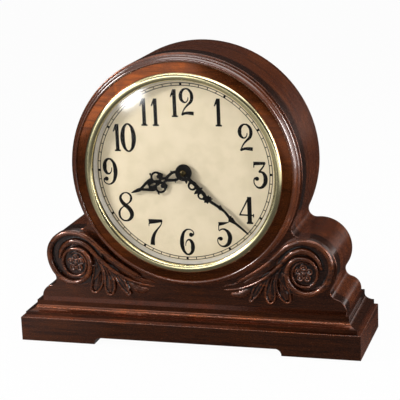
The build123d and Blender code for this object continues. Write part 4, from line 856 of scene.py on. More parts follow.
NOUGHT = (
    Stroke(tuple(
        (NOUGHT_HALF[0] * math.cos(turn), NOUGHT_UP + NOUGHT_HALF[1] * math.sin(turn),
         NOUGHT_PEN[1] + (NOUGHT_PEN[0] - NOUGHT_PEN[1]) * math.cos(turn) ** 2)
        for turn in (step * FULL_TURN / NOUGHT_STEPS for step in range(NOUGHT_STEPS))), closed=True),
)
SIX_HEIGHT = 25.4


@dataclass
class Dial:
    """What is printed on the dial: twelve numbers and a minute track.

    Attributes:
        ink: how far the print stands off the dial, in mm.
        bold: how bold the numbers are.
        track_inner: radius of the track's inner line, in mm.
        track_outer: radius of its outer line, in mm.
        line_half: half the width of the lines, in mm.
        tick_half: half the width of the ticks, in mm.
        block_half: half the width of the blocks at each fifth minute, in mm.
        nudge: how far the numbers stand off their places, across and up, in mm.
        track_nudge: how far the track stands off the middle, across and up, in mm.
    """

    ink: float = 0.06
    bold: float = 1.14
    track_inner: float = 79.7
    track_outer: float = 82.1
    line_half: float = 0.33
    tick_half: float = 0.38
    block_half: float = 1.05
    nudge: Point = (-0.5, -0.8)
    track_nudge: Point = (-0.4, -0.4)

    # Depth and bevel of a mark as shares of the ink
    MARK_DEPTH = 1.9
    MARK_BEVEL = 0.4
    # Shape, place across and up, and turn of each digit
    PLACES = (
        (ONE, -6.1, 216.2, 0.0), (TWO, 5.0, 217.2, 0.0), (ONE, 34.4, 208.4, 0.0), (TWO, 58.3, 186.0, 0.0),
        (THREE, 71.0, 152.2, 0.0), (FOUR, 60.05, 119.4, 0.0), (FIVE, 35.6, 96.6, 0.0), (SIX, 0.6, 87.4, 0.0),
        (SEVEN, -29.2, 95.6, 0.0), (EIGHT, -57.1, 117.3, 0.0), (SIX, -70.5, 151.5 + SIX_HEIGHT, HALF_TURN),
        (ONE, -61.85, 183.5, 0.0), (NOUGHT, -51.4, 183.0, 0.0), (ONE, -35.2, 207.6, 0.0),
        (ONE, -24.4, 207.6, 0.0),
    )

    def face(self) -> float:
        """Level of the dial's face along Y, in metres."""
        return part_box("dial_plate")[0].y

    def numbers(self) -> bpy.types.Object:
        """Print the numbers.

        Returns:
            The piece.
        """
        front, back = self.face() - self.ink * MM, self.face() + self.ink * MM
        sheet = Pressing("hour_numbers", front, back, weight=self.bold)
        for shapes, across, up, turn in self.PLACES:
            sheet.draw(shapes, (across + self.nudge[0], up + self.nudge[1]), turn)
        return sheet.press()

    def middle(self) -> Spot:
        """Middle of the dial's face, in metres."""
        return (0.0, self.face(), DIAL_Z)

    def ring(self, name: str, radius: float) -> bpy.types.Object:
        """Print one of the track's round lines.

        Args:
            name: the piece's name.
            radius: its middle radius, in mm.

        Returns:
            The piece.
        """
        inner, outer = radius - self.line_half, radius + self.line_half
        Bench.clear()
        bpy.ops.mesh.primitive_circle_add(vertices=180, radius=inner * MM, fill_type="NOTHING",
                                          rotation=(HALF_TURN / 2, 0.0, 0.0), location=self.middle())
        piece = bpy.context.object
        piece.name = name
        with Bench.editing(piece):
            bpy.ops.mesh.extrude_edges_move()
            grown = outer / inner
            bpy.ops.transform.resize(value=(grown, 1.0, grown), center_override=self.middle())
            bpy.ops.mesh.select_all(action="SELECT")
            bpy.ops.mesh.normals_make_consistent(inside=False)
        Bench.apply(piece, "SOLIDIFY", thickness=self.ink * 2 * MM, offset=0.0)
        Bench.settle(piece)
        return piece

    def marks(self, name: str, width: float, height: float, count: int) -> bpy.types.Object:
        """Print one mark of the track at twelve, and copy it round the dial.

        Args:
            name: the piece's name.
            width: the mark's width, in mm.
            height: its height, in mm.
            count: how many there are.

        Returns:
            The piece.
        """
        reach = (self.track_inner + self.track_outer) / 2
        Bench.clear()
        bpy.ops.mesh.primitive_cube_add(size=MM, location=(0.0, self.face(), (DIAL_UP + reach) * MM),
                                        scale=(width, self.ink * self.MARK_DEPTH, height))
        piece = bpy.context.object
        piece.name = name
        Bench.settle(piece)
        with Bench.editing(piece):
            bpy.ops.mesh.bevel(offset=self.ink * self.MARK_BEVEL * MM, segments=1, affect="EDGES")
            bpy.ops.mesh.select_all(action="SELECT")
            bpy.ops.mesh.spin(steps=count, dupli=True, angle=FULL_TURN, center=self.middle(),
                              axis=(0.0, 1.0, 0.0))
        Bench.settle(piece)
        return piece

    def track(self) -> bpy.types.Object:
        """Print the minute track.

        Returns:
            The piece.
        """
        parts = [self.ring("track_inner", self.track_inner), self.ring("track_outer", self.track_outer)]
        height = self.track_outer - self.track_inner
        parts.append(self.marks("ticks", self.tick_half * 2, height, 60))
        parts.append(self.marks("blocks", self.block_half * 2, height, 12))
        piece = Bench.join("minute_track", parts)
        piece.location = Vector((self.track_nudge[0], 0.0, self.track_nudge[1])) * MM
        Bench.settle(piece)
        Bench.smooth(piece)
        return piece

    def build(self, ink: bpy.types.Material) -> list[bpy.types.Object]:
        """Make the prints and dress them with the ink."""
        return [mount(piece, ink, "case") for piece in (self.numbers(), self.track())]


def both(*strokes: Stroke) -> tuple[Stroke, ...]:
    """Strokes with their mirror images across the middle.

    Args:
        strokes: the strokes of one side.

    Returns:
        The strokes of both sides.
    """
    mirrored = tuple(replace(stroke, points=tuple((-u, v, half) for u, v, half in stroke.points))
                     for stroke in strokes)
    return strokes + mirrored


HOOP_STEPS = 10


def hoop(across: float, up: float, radius: float, thin: float, thick: float, toward: float) -> Stroke:
    """Round loop whose line swells on one side.

    Args:
        across: its centre across the hand, in mm.
        up: its centre along the hand, in mm.
        radius: its middle radius, in mm.
        thin: half width of the line on the thin side, in mm.
        thick: half width of the line on the thick side, in mm.
        toward: direction of the thick side, in radians from across.

    Returns:
        The stroke.
    """
    points = []
    for step in range(HOOP_STEPS):
        turn = step * FULL_TURN / HOOP_STEPS
        half = thin + (thick - thin) * (1 + math.cos(turn - toward)) / 2
        points.append((across + radius * math.cos(turn), up + radius * math.sin(turn), half))
    return Stroke(tuple(points), closed=True)


@dataclass
class Hands:
    """The pierced serpentine hands.

    Attributes:
        hour_turn: where the hour hand points, in degrees from twelve.
        minute_turn: where the minute hand points, in degrees from twelve.
        voxel: size of the cells that their outlines are made of, in mm.
        bold: how bold their strokes are.
    """

    hour_turn: float = 248.0
    minute_turn: float = 133.0
    voxel: float = 0.13
    bold: float = 1.5

    HOUR = both(
        Stroke(((2.6, 5.0, 1.0), (3.6, 9.5, 0.9), (2.6, 13.5, 0.9), (0.6, 18.5, 1.0))),
        Stroke(((3.4, 9.0, 0.7), (4.6, 10.2, 0.5), (5.8, 11.2, 0.25)), straight=True),
        Stroke(((0.8, 17.5, 0.8), (1.7, 20.5, 0.8), (1.9, 22.6, 0.8), (1.0, 25.0, 0.8))),
        hoop(5.0, 26.2, 4.5, 0.65, 0.9, 3.6),
        Stroke(((8.4, 29.6, 0.7), (9.6, 30.4, 0.5), (10.6, 29.6, 0.3))),
        Stroke(((2.2, 21.6, 0.9), (4.6, 22.3, 2.4), (7.0, 23.2, 1.7))),
        Stroke(((0.8, 24.6, 0.9), (1.8, 28.6, 0.8), (2.2, 32.0, 0.9), (1.4, 35.0, 0.8), (0.5, 36.6, 0.8))),
        Stroke(((4.2, 30.4, 0.8), (4.6, 32.4, 1.1), (3.6, 36.5, 0.95), (1.8, 41.0, 0.85), (0.0, 44.8, 0.9))),
        Stroke(((4.2, 31.4, 0.8), (2.4, 33.4, 0.7), (1.2, 35.8, 0.7))),
    ) + (
        Stroke(((0.0, 34.8, 0.7), (0.0, 36.4, 0.7))),
        Stroke(((0.0, 43.0, 1.0), (0.0, 47.5, 1.2), (0.0, 51.5, 0.8), (0.0, 54.6, 0.25))),
    )
    MINUTE = (
        Stroke(((0.0, 5.0, 1.3), (0.4, 10.0, 1.1), (0.2, 16.0, 1.2), (0.8, 21.0, 1.3), (1.0, 25.0, 1.1),
                (1.9, 30.0, 1.1), (1.8, 36.0, 1.0), (0.9, 41.0, 0.9), (0.1, 45.6, 1.0), (-0.3, 51.0, 0.8),
                (0.3, 56.0, 0.9), (0.9, 60.0, 0.9), (0.7, 66.0, 0.8), (0.2, 73.0, 0.7), (0.0, 80.8, 0.5))),
        Stroke(((2.4, 6.0, 1.2), (4.0, 7.6, 0.8), (5.2, 8.8, 0.3)), straight=True),
        hoop(3.0, 14.0, 3.3, 0.55, 1.05, 3.14),
        Stroke(((-2.6, 22.0, 0.25), (-0.8, 21.4, 0.9), (1.4, 21.0, 1.7), (4.6, 20.6, 1.1), (7.3, 20.2, 0.3))),
        hoop(3.7, 26.1, 3.0, 0.5, 1.0, 3.14),
        Stroke(((-1.8, 33.2, 0.25), (0.4, 32.7, 1.1), (2.2, 32.5, 2.1), (4.4, 32.4, 1.2), (6.6, 31.8, 0.3))),
        Stroke(((-1.2, 30.4, 0.25), (2.0, 32.5, 1.4), (5.4, 35.0, 0.25)), straight=True),
        Stroke(((-1.4, 35.4, 0.25), (2.0, 32.5, 1.4), (5.6, 29.6, 0.25)), straight=True),
        Stroke(((-2.4, 44.2, 0.25), (-0.6, 45.4, 1.2), (0.6, 46.2, 1.0), (1.8, 47.4, 0.3))),
        Stroke(((-1.9, 57.8, 0.25), (0.2, 58.8, 1.1), (1.2, 60.2, 1.7), (2.6, 60.0, 1.0), (4.0, 59.4, 0.3))),
        Stroke(((1.0, 59.8, 1.9), (1.0, 62.4, 1.3), (0.8, 65.5, 0.8))),
    )
    HOUR_HUB = 7.7
    MINUTE_HUB = 7.4

    def hand(self, node: str, shapes: Sequence[Stroke], hub: float, turn: float) -> bpy.types.Object:
        """Press one hand.

        Args:
            node: the built piece that it stands for.
            shapes: what it is drawn with.
            hub: the hub's radius, in mm.
            turn: where it points, in degrees from twelve.

        Returns:
            The piece.
        """
        low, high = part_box(node)
        pressing = Pressing(f"{node}_pierced", low.y, high.y, self.voxel, self.bold)
        pressing.draw((*shapes, Dot(0.0, 0.0, hub)), (0.0, DIAL_UP), math.radians(turn))
        return pressing.press()

    def build(self, lacquer: bpy.types.Material) -> list[bpy.types.Object]:
        """Make and dress the hands.

        Args:
            lacquer: the black lacquer's material.

        Returns:
            The pieces.
        """
        hour = self.hand("hour_hand", self.HOUR, self.HOUR_HUB, self.hour_turn)
        minute = self.hand("minute_hand", self.MINUTE, self.MINUTE_HUB, self.minute_turn)
        return [mount(piece, lacquer, node, node)
                for piece, node in ((hour, "hour_hand"), (minute, "minute_hand"))]


@dataclass
class Carving:
    """The pair of carved scrolls on the shoulders.

    Attributes:
        eye: centre of the right scroll's eye, in mm.
        sunk: how far the carving reaches into the board, in mm.
        voxel: size of the cells of its skin, in mm.
        petal_reach: how far the petals stand from the eye's centre, in mm.
    """

    eye: Point = (108.6, 75.2)
    sunk: float = 0.2
    voxel: float = 0.38
    petal_reach: float = 5.5

    # Across, up, height above the board and radius along each band
    BAND = (
        (46.6, 63.8, 1.6, 1.2), (50.0, 65.8, 2.2, 1.8), (60.8, 72.4, 3.6, 2.1),
        (73.4, 81.3, 4.8, 2.3), (83.0, 89.7, 5.5, 2.5), (91.0, 97.4, 6.0, 2.7), (97.6, 101.9, 6.2, 2.8),
        (105.8, 104.5, 6.2, 2.8), (115.0, 104.4, 6.2, 2.8), (124.0, 100.9, 6.2, 2.8), (130.4, 94.6, 6.2, 2.7),
        (133.4, 87.4, 6.2, 2.7), (133.6, 79.8, 6.3, 2.6), (131.4, 71.4, 6.4, 2.4), (126.4, 63.8, 6.6, 2.3),
        (119.4, 58.6, 6.8, 2.2), (111.8, 56.8, 7.0, 2.2), (103.9, 58.4, 7.2, 2.2), (97.4, 63.8, 7.4, 2.2),
        (94.0, 71.4, 7.5, 2.2), (94.2, 79.2, 7.5, 2.2), (97.4, 85.4, 7.4, 2.1), (102.6, 88.8, 7.2, 2.0),
        (108.6, 89.4, 6.9, 1.8), (114.8, 87.6, 6.4, 1.5), (119.4, 83.0, 6.0, 1.3), (121.2, 76.6, 5.7, 1.2),
        (119.8, 69.6, 5.6, 1.1), (115.4, 64.4, 5.6, 1.1), (109.2, 62.8, 5.6, 1.1), (103.2, 64.4, 5.6, 1.1),
        (99.2, 69.2, 5.5, 1.0), (98.2, 75.4, 5.4, 1.0), (100.2, 81.2, 5.2, 0.9), (104.6, 84.8, 5.0, 0.8),
        (109.4, 85.6, 4.6, 0.7), (114.2, 83.4, 4.2, 0.6),
    )
    INNER_BAND = (
        (33.0, 54.6, 0.2, 0.6), (40.0, 55.6, 0.8, 1.0), (50.0, 57.6, 1.6, 1.2), (60.0, 61.6, 2.4, 1.4),
        (71.0, 67.8, 3.2, 1.6), (79.0, 74.4, 3.9, 1.8), (87.0, 82.0, 4.5, 2.1), (94.8, 90.6, 4.8, 2.5),
        (101.0, 94.8, 4.8, 2.9), (108.8, 96.2, 4.6, 3.0), (116.4, 93.4, 4.2, 2.7), (122.2, 87.0, 3.8, 2.2),
        (124.8, 79.0, 3.6, 1.5),
    )
    # Left edge down to the tip, right edge back up, and vein of each frond
    FRONDS = (
        (((87.4, 78.6), (84.0, 71.2), (82.9, 63.3), (84.2, 55.5), (87.4, 49.4), (91.8, 46.2)),
         ((91.8, 46.2), (95.0, 47.4), (95.4, 52.0), (94.4, 58.0), (92.4, 64.4), (91.0, 73.0)),
         ((89.0, 74.0), (88.2, 66.0), (88.6, 58.0), (90.8, 50.4))),
        (((83.0, 77.6), (77.2, 69.6), (73.8, 62.0), (72.4, 54.8), (73.2, 48.6), (76.0, 44.8)),
         ((76.0, 44.8), (79.4, 46.0), (81.0, 50.0), (81.4, 56.6), (81.2, 64.0), (84.0, 74.6)),
         ((81.8, 74.0), (78.2, 65.0), (76.8, 56.4), (76.6, 48.8))),
        (((78.6, 74.4), (70.9, 68.4), (65.1, 62.9), (61.1, 56.8), (59.0, 50.4), (57.6, 46.0)),
         ((57.6, 46.0), (62.4, 49.0), (67.0, 54.8), (70.6, 61.2), (75.0, 69.0), (79.4, 73.6)),
         ((74.6, 70.0), (68.6, 62.6), (63.8, 55.2), (59.2, 48.4))),
    )
    # Radii along a frond's plate, and the heights and radii of its rim and vein
    PLATE = (2.2, 3.4, 4.6, 5.0, 4.0)
    PLATE_FLAT = 0.6
    RIM_HEIGHTS = (3.2, 3.0, 2.8, 2.6, 2.5, 2.6, 2.6, 2.6, 2.7, 2.9, 3.1)
    RIM = 1.0
    VEIN_HEIGHTS = (3.0, 2.4, 2.2, 2.0)
    VEIN = 0.75
    TAIL = ((31.0, 57.0, 0.2, 0.5), (37.0, 59.6, 0.7, 0.9), (42.0, 60.6, 1.0, 1.0), (46.5, 62.4, 1.3, 0.9))
    SKIRT = BAND[4:15]
    SKIRT_HEIGHTS = (0.6, 2.4, 4.2)
    THUMB = (
        (39.5, 51.6, 1.4), (44.5, 50.6, 3.2), (50.0, 51.6, 3.8), (55.0, 55.2, 3.4), (62.0, 60.8, 1.8),
    )
    THUMB_FLAT = 0.55
    WEB = ((52.0, 61.8, 1.6), (66.0, 71.0, 3.0), (79.0, 81.5, 4.4), (90.0, 92.0, 5.6), (99.0, 98.0, 6.5))
    WEB_FLAT = 0.5
    GROUND = (26.0, 26.0, 6.4)
    GROUND_OFF = (0.4, 3.0)
    PETALS = 5
    CUP_STEPS = 8
    CUP_REACH = 2.5
    # Height above the board and radius of the rosette's rims and balls
    CUP_RIM = (4.7, 0.8)
    CUP_HEART = (4.2, 1.2)
    BOSS = (4.6, 2.2)

    def board(self) -> float:
        """Level of the board's front along Y, in mm."""
        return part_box("scroll_right")[1].y / MM

    def solid(self, across: float, up: float, height: float, radius: float) -> SolidPoint:
        """Tube point at a height above the board."""
        return (across, self.board() - height, up, radius)

    def rosette(self, moulding: Moulding) -> None:
        """Add the eye's cupped petals and the boss.

        Args:
            moulding: the carving that takes them.
        """
        for petal in range(self.PETALS):
            turn = math.radians(90.0 + 360.0 * petal / self.PETALS)
            across = self.eye[0] + self.petal_reach * math.cos(turn)
            up = self.eye[1] + self.petal_reach * math.sin(turn)
            ways = [step * FULL_TURN / self.CUP_STEPS for step in range(self.CUP_STEPS)]
            rim = [self.solid(across + self.CUP_REACH * math.cos(way), up + self.CUP_REACH * math.sin(way),
                              *self.CUP_RIM) for way in ways]
            moulding.tube(rim, closed=True)
            moulding.ball(self.solid(across, up, *self.CUP_HEART))
        moulding.ball(self.solid(*self.eye, *self.BOSS))

    def swelling(self, moulding: Moulding, points: Iterable[PenPoint], flat: float) -> None:
        """Add a low rounded form along a line on the board, with its height as a share of its radius."""
        route = [self.solid(across, up, 0.0, radius) for across, up, radius in points]
        moulding.tube(route, flat=flat, floor=self.board())

    def leaf(self, moulding: Moulding) -> None:
        """Add the acanthus fronds below the bands.

        Args:
            moulding: the carving that takes them.
        """
        for left, right, vein in self.FRONDS:
            plate = []
            for first, second, radius in zip(left[:-1], reversed(right[1:]), self.PLATE):
                plate.append(((first[0] + second[0]) / 2, (first[1] + second[1]) / 2, radius))
            self.swelling(moulding, plate, self.PLATE_FLAT)
            lines = ((left + right[1:], self.RIM_HEIGHTS, self.RIM), (vein, self.VEIN_HEIGHTS, self.VEIN))
            for line, heights, radius in lines:
                moulding.tube([self.solid(*point, height, radius) for point, height in zip(line, heights)])
        self.swelling(moulding, self.THUMB, self.THUMB_FLAT)

    def ground(self, moulding: Moulding) -> None:
        """Add the raised ground under the scroll and between its bands.

        Args:
            moulding: the carving that takes it.
        """
        Bench.clear()
        bpy.ops.mesh.primitive_cylinder_add(vertices=96, radius=1.0, depth=1.0)
        disc = bpy.context.object
        with Bench.editing(disc):
            bpy.ops.transform.resize(value=tuple(size * MM for size in self.GROUND))
        disc.rotation_euler = (HALF_TURN / 2, 0.0, 0.0)
        across, up = self.eye[0] + self.GROUND_OFF[0], self.eye[1] + self.GROUND_OFF[1]
        disc.location = Vector((across, self.board(), up)) * MM
        Bench.settle(disc)
        moulding.solids.append(disc)
        self.swelling(moulding, self.WEB, self.WEB_FLAT)

    def mark_shaded_hollows(self, piece: bpy.types.Object) -> None:
        """Mark the hollows in a colour attribute, where the material paints shade on them.

        Args:
            piece: the carving.
        """
        Bench.take(piece)
        bpy.ops.geometry.color_attribute_add(name=Wood.HOLLOW_SHADE, domain="POINT", data_type="FLOAT_COLOR",
                                             color=(1.0, 1.0, 1.0, 1.0))
        bpy.ops.object.mode_set(mode="VERTEX_PAINT")
        bpy.ops.paint.vertex_color_dirt(blur_strength=1.0, blur_iterations=2, clean_angle=math.radians(94.0),
                                        dirt_angle=math.radians(80.0), dirt_only=False, normalize=False)
        bpy.ops.object.mode_set(mode="OBJECT")

    def carve(self, name: str) -> bpy.types.Object:
        """Carve the right scroll.

        Args:
            name: the piece's name.

        Returns:
            The piece.
        """
        moulding = Moulding(name, self.voxel)
        self.ground(moulding)
        moulding.tube([self.solid(*point) for point in self.BAND])
        moulding.tube([self.solid(*point) for point in self.TAIL])
        for height in self.SKIRT_HEIGHTS:
            moulding.tube([self.solid(across, up, height, radius) for across, up, _, radius in self.SKIRT])
        moulding.tube([self.solid(*point) for point in self.INNER_BAND])
        self.rosette(moulding)
        self.leaf(moulding)
        piece = moulding.grow()
        Bench.apply(piece, "SMOOTH", factor=0.5, iterations=4)
        Bench.cut(piece, (self.board() + self.sunk) * MM)
        Bench.settle(piece)
        Bench.take(piece)
        bpy.ops.object.shade_smooth()
        self.mark_shaded_hollows(piece)
        return piece

    def mirrored(self, piece: bpy.types.Object, name: str) -> bpy.types.Object:
        """Copy the right scroll to the left.

        Args:
            piece: the right scroll.
            name: the copy's name.

        Returns:
            The left scroll.
        """
        Bench.take(piece)
        bpy.ops.object.duplicate()
        copy = Bench.join(name, [bpy.context.object])
        copy.scale = (-1.0, 1.0, 1.0)
        Bench.settle(copy)
        return copy

    def build(self, wood: bpy.types.Material) -> list[bpy.types.Object]:
        """Make and dress both scrolls.

        Args:
            wood: the carved wood's material.

        Returns:
            The pieces.
        """
        right = self.carve("carved_scroll_right")
        left = self.mirrored(right, "carved_scroll_left")
        return [mount(piece, wood, "case", node)
                for piece, node in ((right, "scroll_right"), (left, "scroll_left"))]


@dataclass
class Turning:
    """The wooden ring and the brass bezel, turned with smooth sections.

    Attributes:
        overlap: how far the bezel lies over the ring, in mm.
        bead: width of the ring's bead, in mm.
        step: depth of the ring's groove and radius of its outer edge, in mm.
        crown: width of the bead's inner rounding, in mm.
        width: width of the bezel, in mm.
        wall: wall of the bezel's tube, in mm.
        lip: how far the bezel's inner edge lies behind its crown, in mm.
        edge: height of the bezel's outer edge, in mm.
        sunk: how far the bead's crown lies behind the ring's face, in mm.
        play: room round the bezel's tube, in mm.
        steps: segments round each piece.
    """

    overlap: float = 2.5
    bead: float = 4.1
    step: float = 1.7
    crown: float = 1.2
    width: float = 7.3
    wall: float = 1.8
    lip: float = 2.4
    edge: float = 0.8
    sunk: float = 0.3
    play: float = 0.06
    steps: int = 320

    @staticmethod
    def levels(node: str) -> tuple[float, float, float]:
        """Outer radius, front level and back level of a built piece, in mm."""
        low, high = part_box(node)
        return high.x / MM, low.y / MM, high.y / MM

    @staticmethod
    def sweep(centre: Point, radii: Point, start: float, end: float, count: int = 16) -> list[Point]:
        """Points along an elliptical arc.

        Args:
            centre: its centre.
            radii: its half axes.
            start: its first angle, in degrees.
            end: its last angle.
            count: how many pieces it has.

        Returns:
            The points.
        """
        angles = [math.radians(start + (end - start) * step / count) for step in range(count + 1)]
        return [(centre[0] + radii[0] * math.cos(turn), centre[1] + radii[1] * math.sin(turn))
                for turn in angles]

    def ring_section(self) -> list[Point]:
        """Radius and level of the ring's section, in mm.

        Returns:
            The points, in order round it.
        """
        rim, face, back = self.levels("drum_ring")
        inner = self.levels("bezel")[0]
        shelf = back - 2 * self.step
        outside = rim - self.step
        inside = outside - self.bead
        top = face + self.sunk
        section = [(inner - self.overlap, face), (inner - self.overlap, back), (rim, back)]
        section += self.sweep((outside, shelf + self.step), (self.step, self.step), 0.0, -90.0, 8)
        section += self.sweep((inside + self.crown, shelf), (self.bead - self.crown, shelf - top), 0.0, -90.0)
        section += self.sweep((inside + self.crown, face + self.step), (self.crown, face + self.step - top),
                              -90.0, -180.0)[1:]
        return section + [(inner, face)]

    def bezel_section(self) -> list[Point]:
        """Radius and level of the bezel's section, in mm.

        Returns:
            The points, in order round it.
        """
        rim, front, back = self.levels("bezel")
        face = self.levels("drum_ring")[1]
        tube = rim - self.overlap - self.play
        sight = rim - self.width
        middle = (sight + rim) / 2
        bore = tube - self.wall
        section = [(rim, face), (tube, face), (tube, back), (bore, back), (bore, face), (sight, face)]
        section += self.sweep((middle, front + self.lip), (middle - sight, self.lip), -180.0, -90.0)
        drop = face - self.edge - front
        return section + self.sweep((middle, front + drop), (rim - middle, drop), -90.0, 0.0)[1:]

    def turn(self, name: str, section: Sequence[Point]) -> bpy.types.Object:
        """Turn a section round the dial's axis.

        Args:
            name: the piece's name.
            section: radius and level of its points, in mm.

        Returns:
            The piece.
        """
        spline = Bench.spline("POLY", len(section))
        for point, (radius, level) in zip(spline.points, section):
            point.co = (radius * MM, level * MM, 0.0, 1.0)
        spline.use_cyclic_u = True
        bpy.ops.object.convert(target="MESH")
        piece = Bench.join(name, [bpy.context.object])
        Bench.apply(piece, "SCREW", axis="Y", steps=self.steps, render_steps=self.steps,
                    use_merge_vertices=True, merge_threshold=Bench.MERGE)
        piece.location = (0.0, 0.0, DIAL_Z)
        Bench.settle(piece)
        Bench.smooth(piece)
        return piece

    def build(self, wood: bpy.types.Material, brass: bpy.types.Material) -> list[bpy.types.Object]:
        """Make and dress both pieces.

        Args:
            wood: the ring's material.
            brass: the bezel's material.

        Returns:
            The pieces.
        """
        ring = self.turn("turned_ring", self.ring_section())
        bezel = self.turn("turned_bezel", self.bezel_section())
        return [mount(ring, wood, "case", "drum_ring"),
                mount(bezel, brass, "case", "bezel")]


@dataclass
class Feet:
    """Felt discs under the plinth, with soft edges.

    Attributes:
        edge: radius of the soft edge, in mm.
        sides: how many sides a disc has.
    """

    edge: float = 0.5
    sides: int = 48

    COUNT = 4

    def radius(self) -> float:
        """Radius of one foot, in metres, from the area of the built feet's lower faces."""
        faces = frame["nodes"]["felt_feet"].data.polygons
        return math.sqrt(sum(face.area for face in faces if face.normal.z < -0.9) / self.COUNT / math.pi)

    def disc(self, place: Spot, depth: float) -> bpy.types.Object:
        """Make one foot.

        Args:
            place: its centre, in metres.
            depth: its thickness, in metres.

        Returns:
            The disc.
        """
        Bench.clear()
        bpy.ops.mesh.primitive_cylinder_add(vertices=self.sides, radius=self.radius(), depth=depth,
                                            location=place)
        piece = bpy.context.object
        with Bench.editing(piece):
            bpy.ops.mesh.select_mode(type="EDGE")
            bpy.ops.mesh.select_all(action="DESELECT")
            bpy.ops.mesh.select_face_by_sides(number=self.sides)
            bpy.ops.mesh.bevel(offset=self.edge * MM, segments=3, affect="EDGES")
        Bench.settle(piece)
        return piece

    def build(self, felt: bpy.types.Material) -> list[bpy.types.Object]:
        """Make and dress the feet, in the corners of the built ones.

        Args:
            felt: the felt's material.

        Returns:
            The piece, as a list.
        """
        low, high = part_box("felt_feet")
        radius = self.radius()
        discs = []
        for x in (low.x + radius, high.x - radius):
            for y in (low.y + radius, high.y - radius):
                discs.append(self.disc((x, y, (low.z + high.z) / 2), high.z - low.z))
        piece = Bench.join("felt_pads", discs)
        Bench.smooth(piece, 40.0)
        return [mount(piece, felt, "case", "felt_feet")]


@dataclass(frozen=True)
class Lamp:
    """A soft lamp.

    Attributes:
        name: its name.
        place: where it hangs, in metres.
        size: its width and height, in metres.
        power: its power, in watts.
        only: the one piece that it lights, where it doesn't light all.
        aim: the point that it faces, in metres.
        tilt: its turn about its own axis, in degrees.
    """

    name: str
    place: Spot
    size: Point
    power: float
    only: Optional[str] = None
    aim: Spot = (0.0, -0.04, 0.15)
    tilt: float = 0.0

    def hang(self) -> None:
        """Hang the lamp."""
        data = bpy.data.lights.new(self.name, "AREA")
        data.shape = "ELLIPSE" if self.only else "RECTANGLE"
        data.size, data.size_y = self.size
        data.energy = self.power
        lamp = bpy.data.objects.new(self.name, data)
        facing = (Vector(self.aim) - Vector(self.place)).to_track_quat("-Z", "Y").to_matrix().to_4x4()
        turned = Matrix.Rotation(math.radians(self.tilt), 4, "Z")
        lamp.matrix_world = Matrix.Translation(Vector(self.place)) @ facing @ turned
        bpy.context.collection.objects.link(lamp)
        if self.only:
            lit = bpy.data.collections.new(f"{self.name}_lit")
            lit.objects.link(frame["nodes"].get(self.only) or bpy.data.objects[self.only])
            lamp.light_linking.receiver_collection = lit


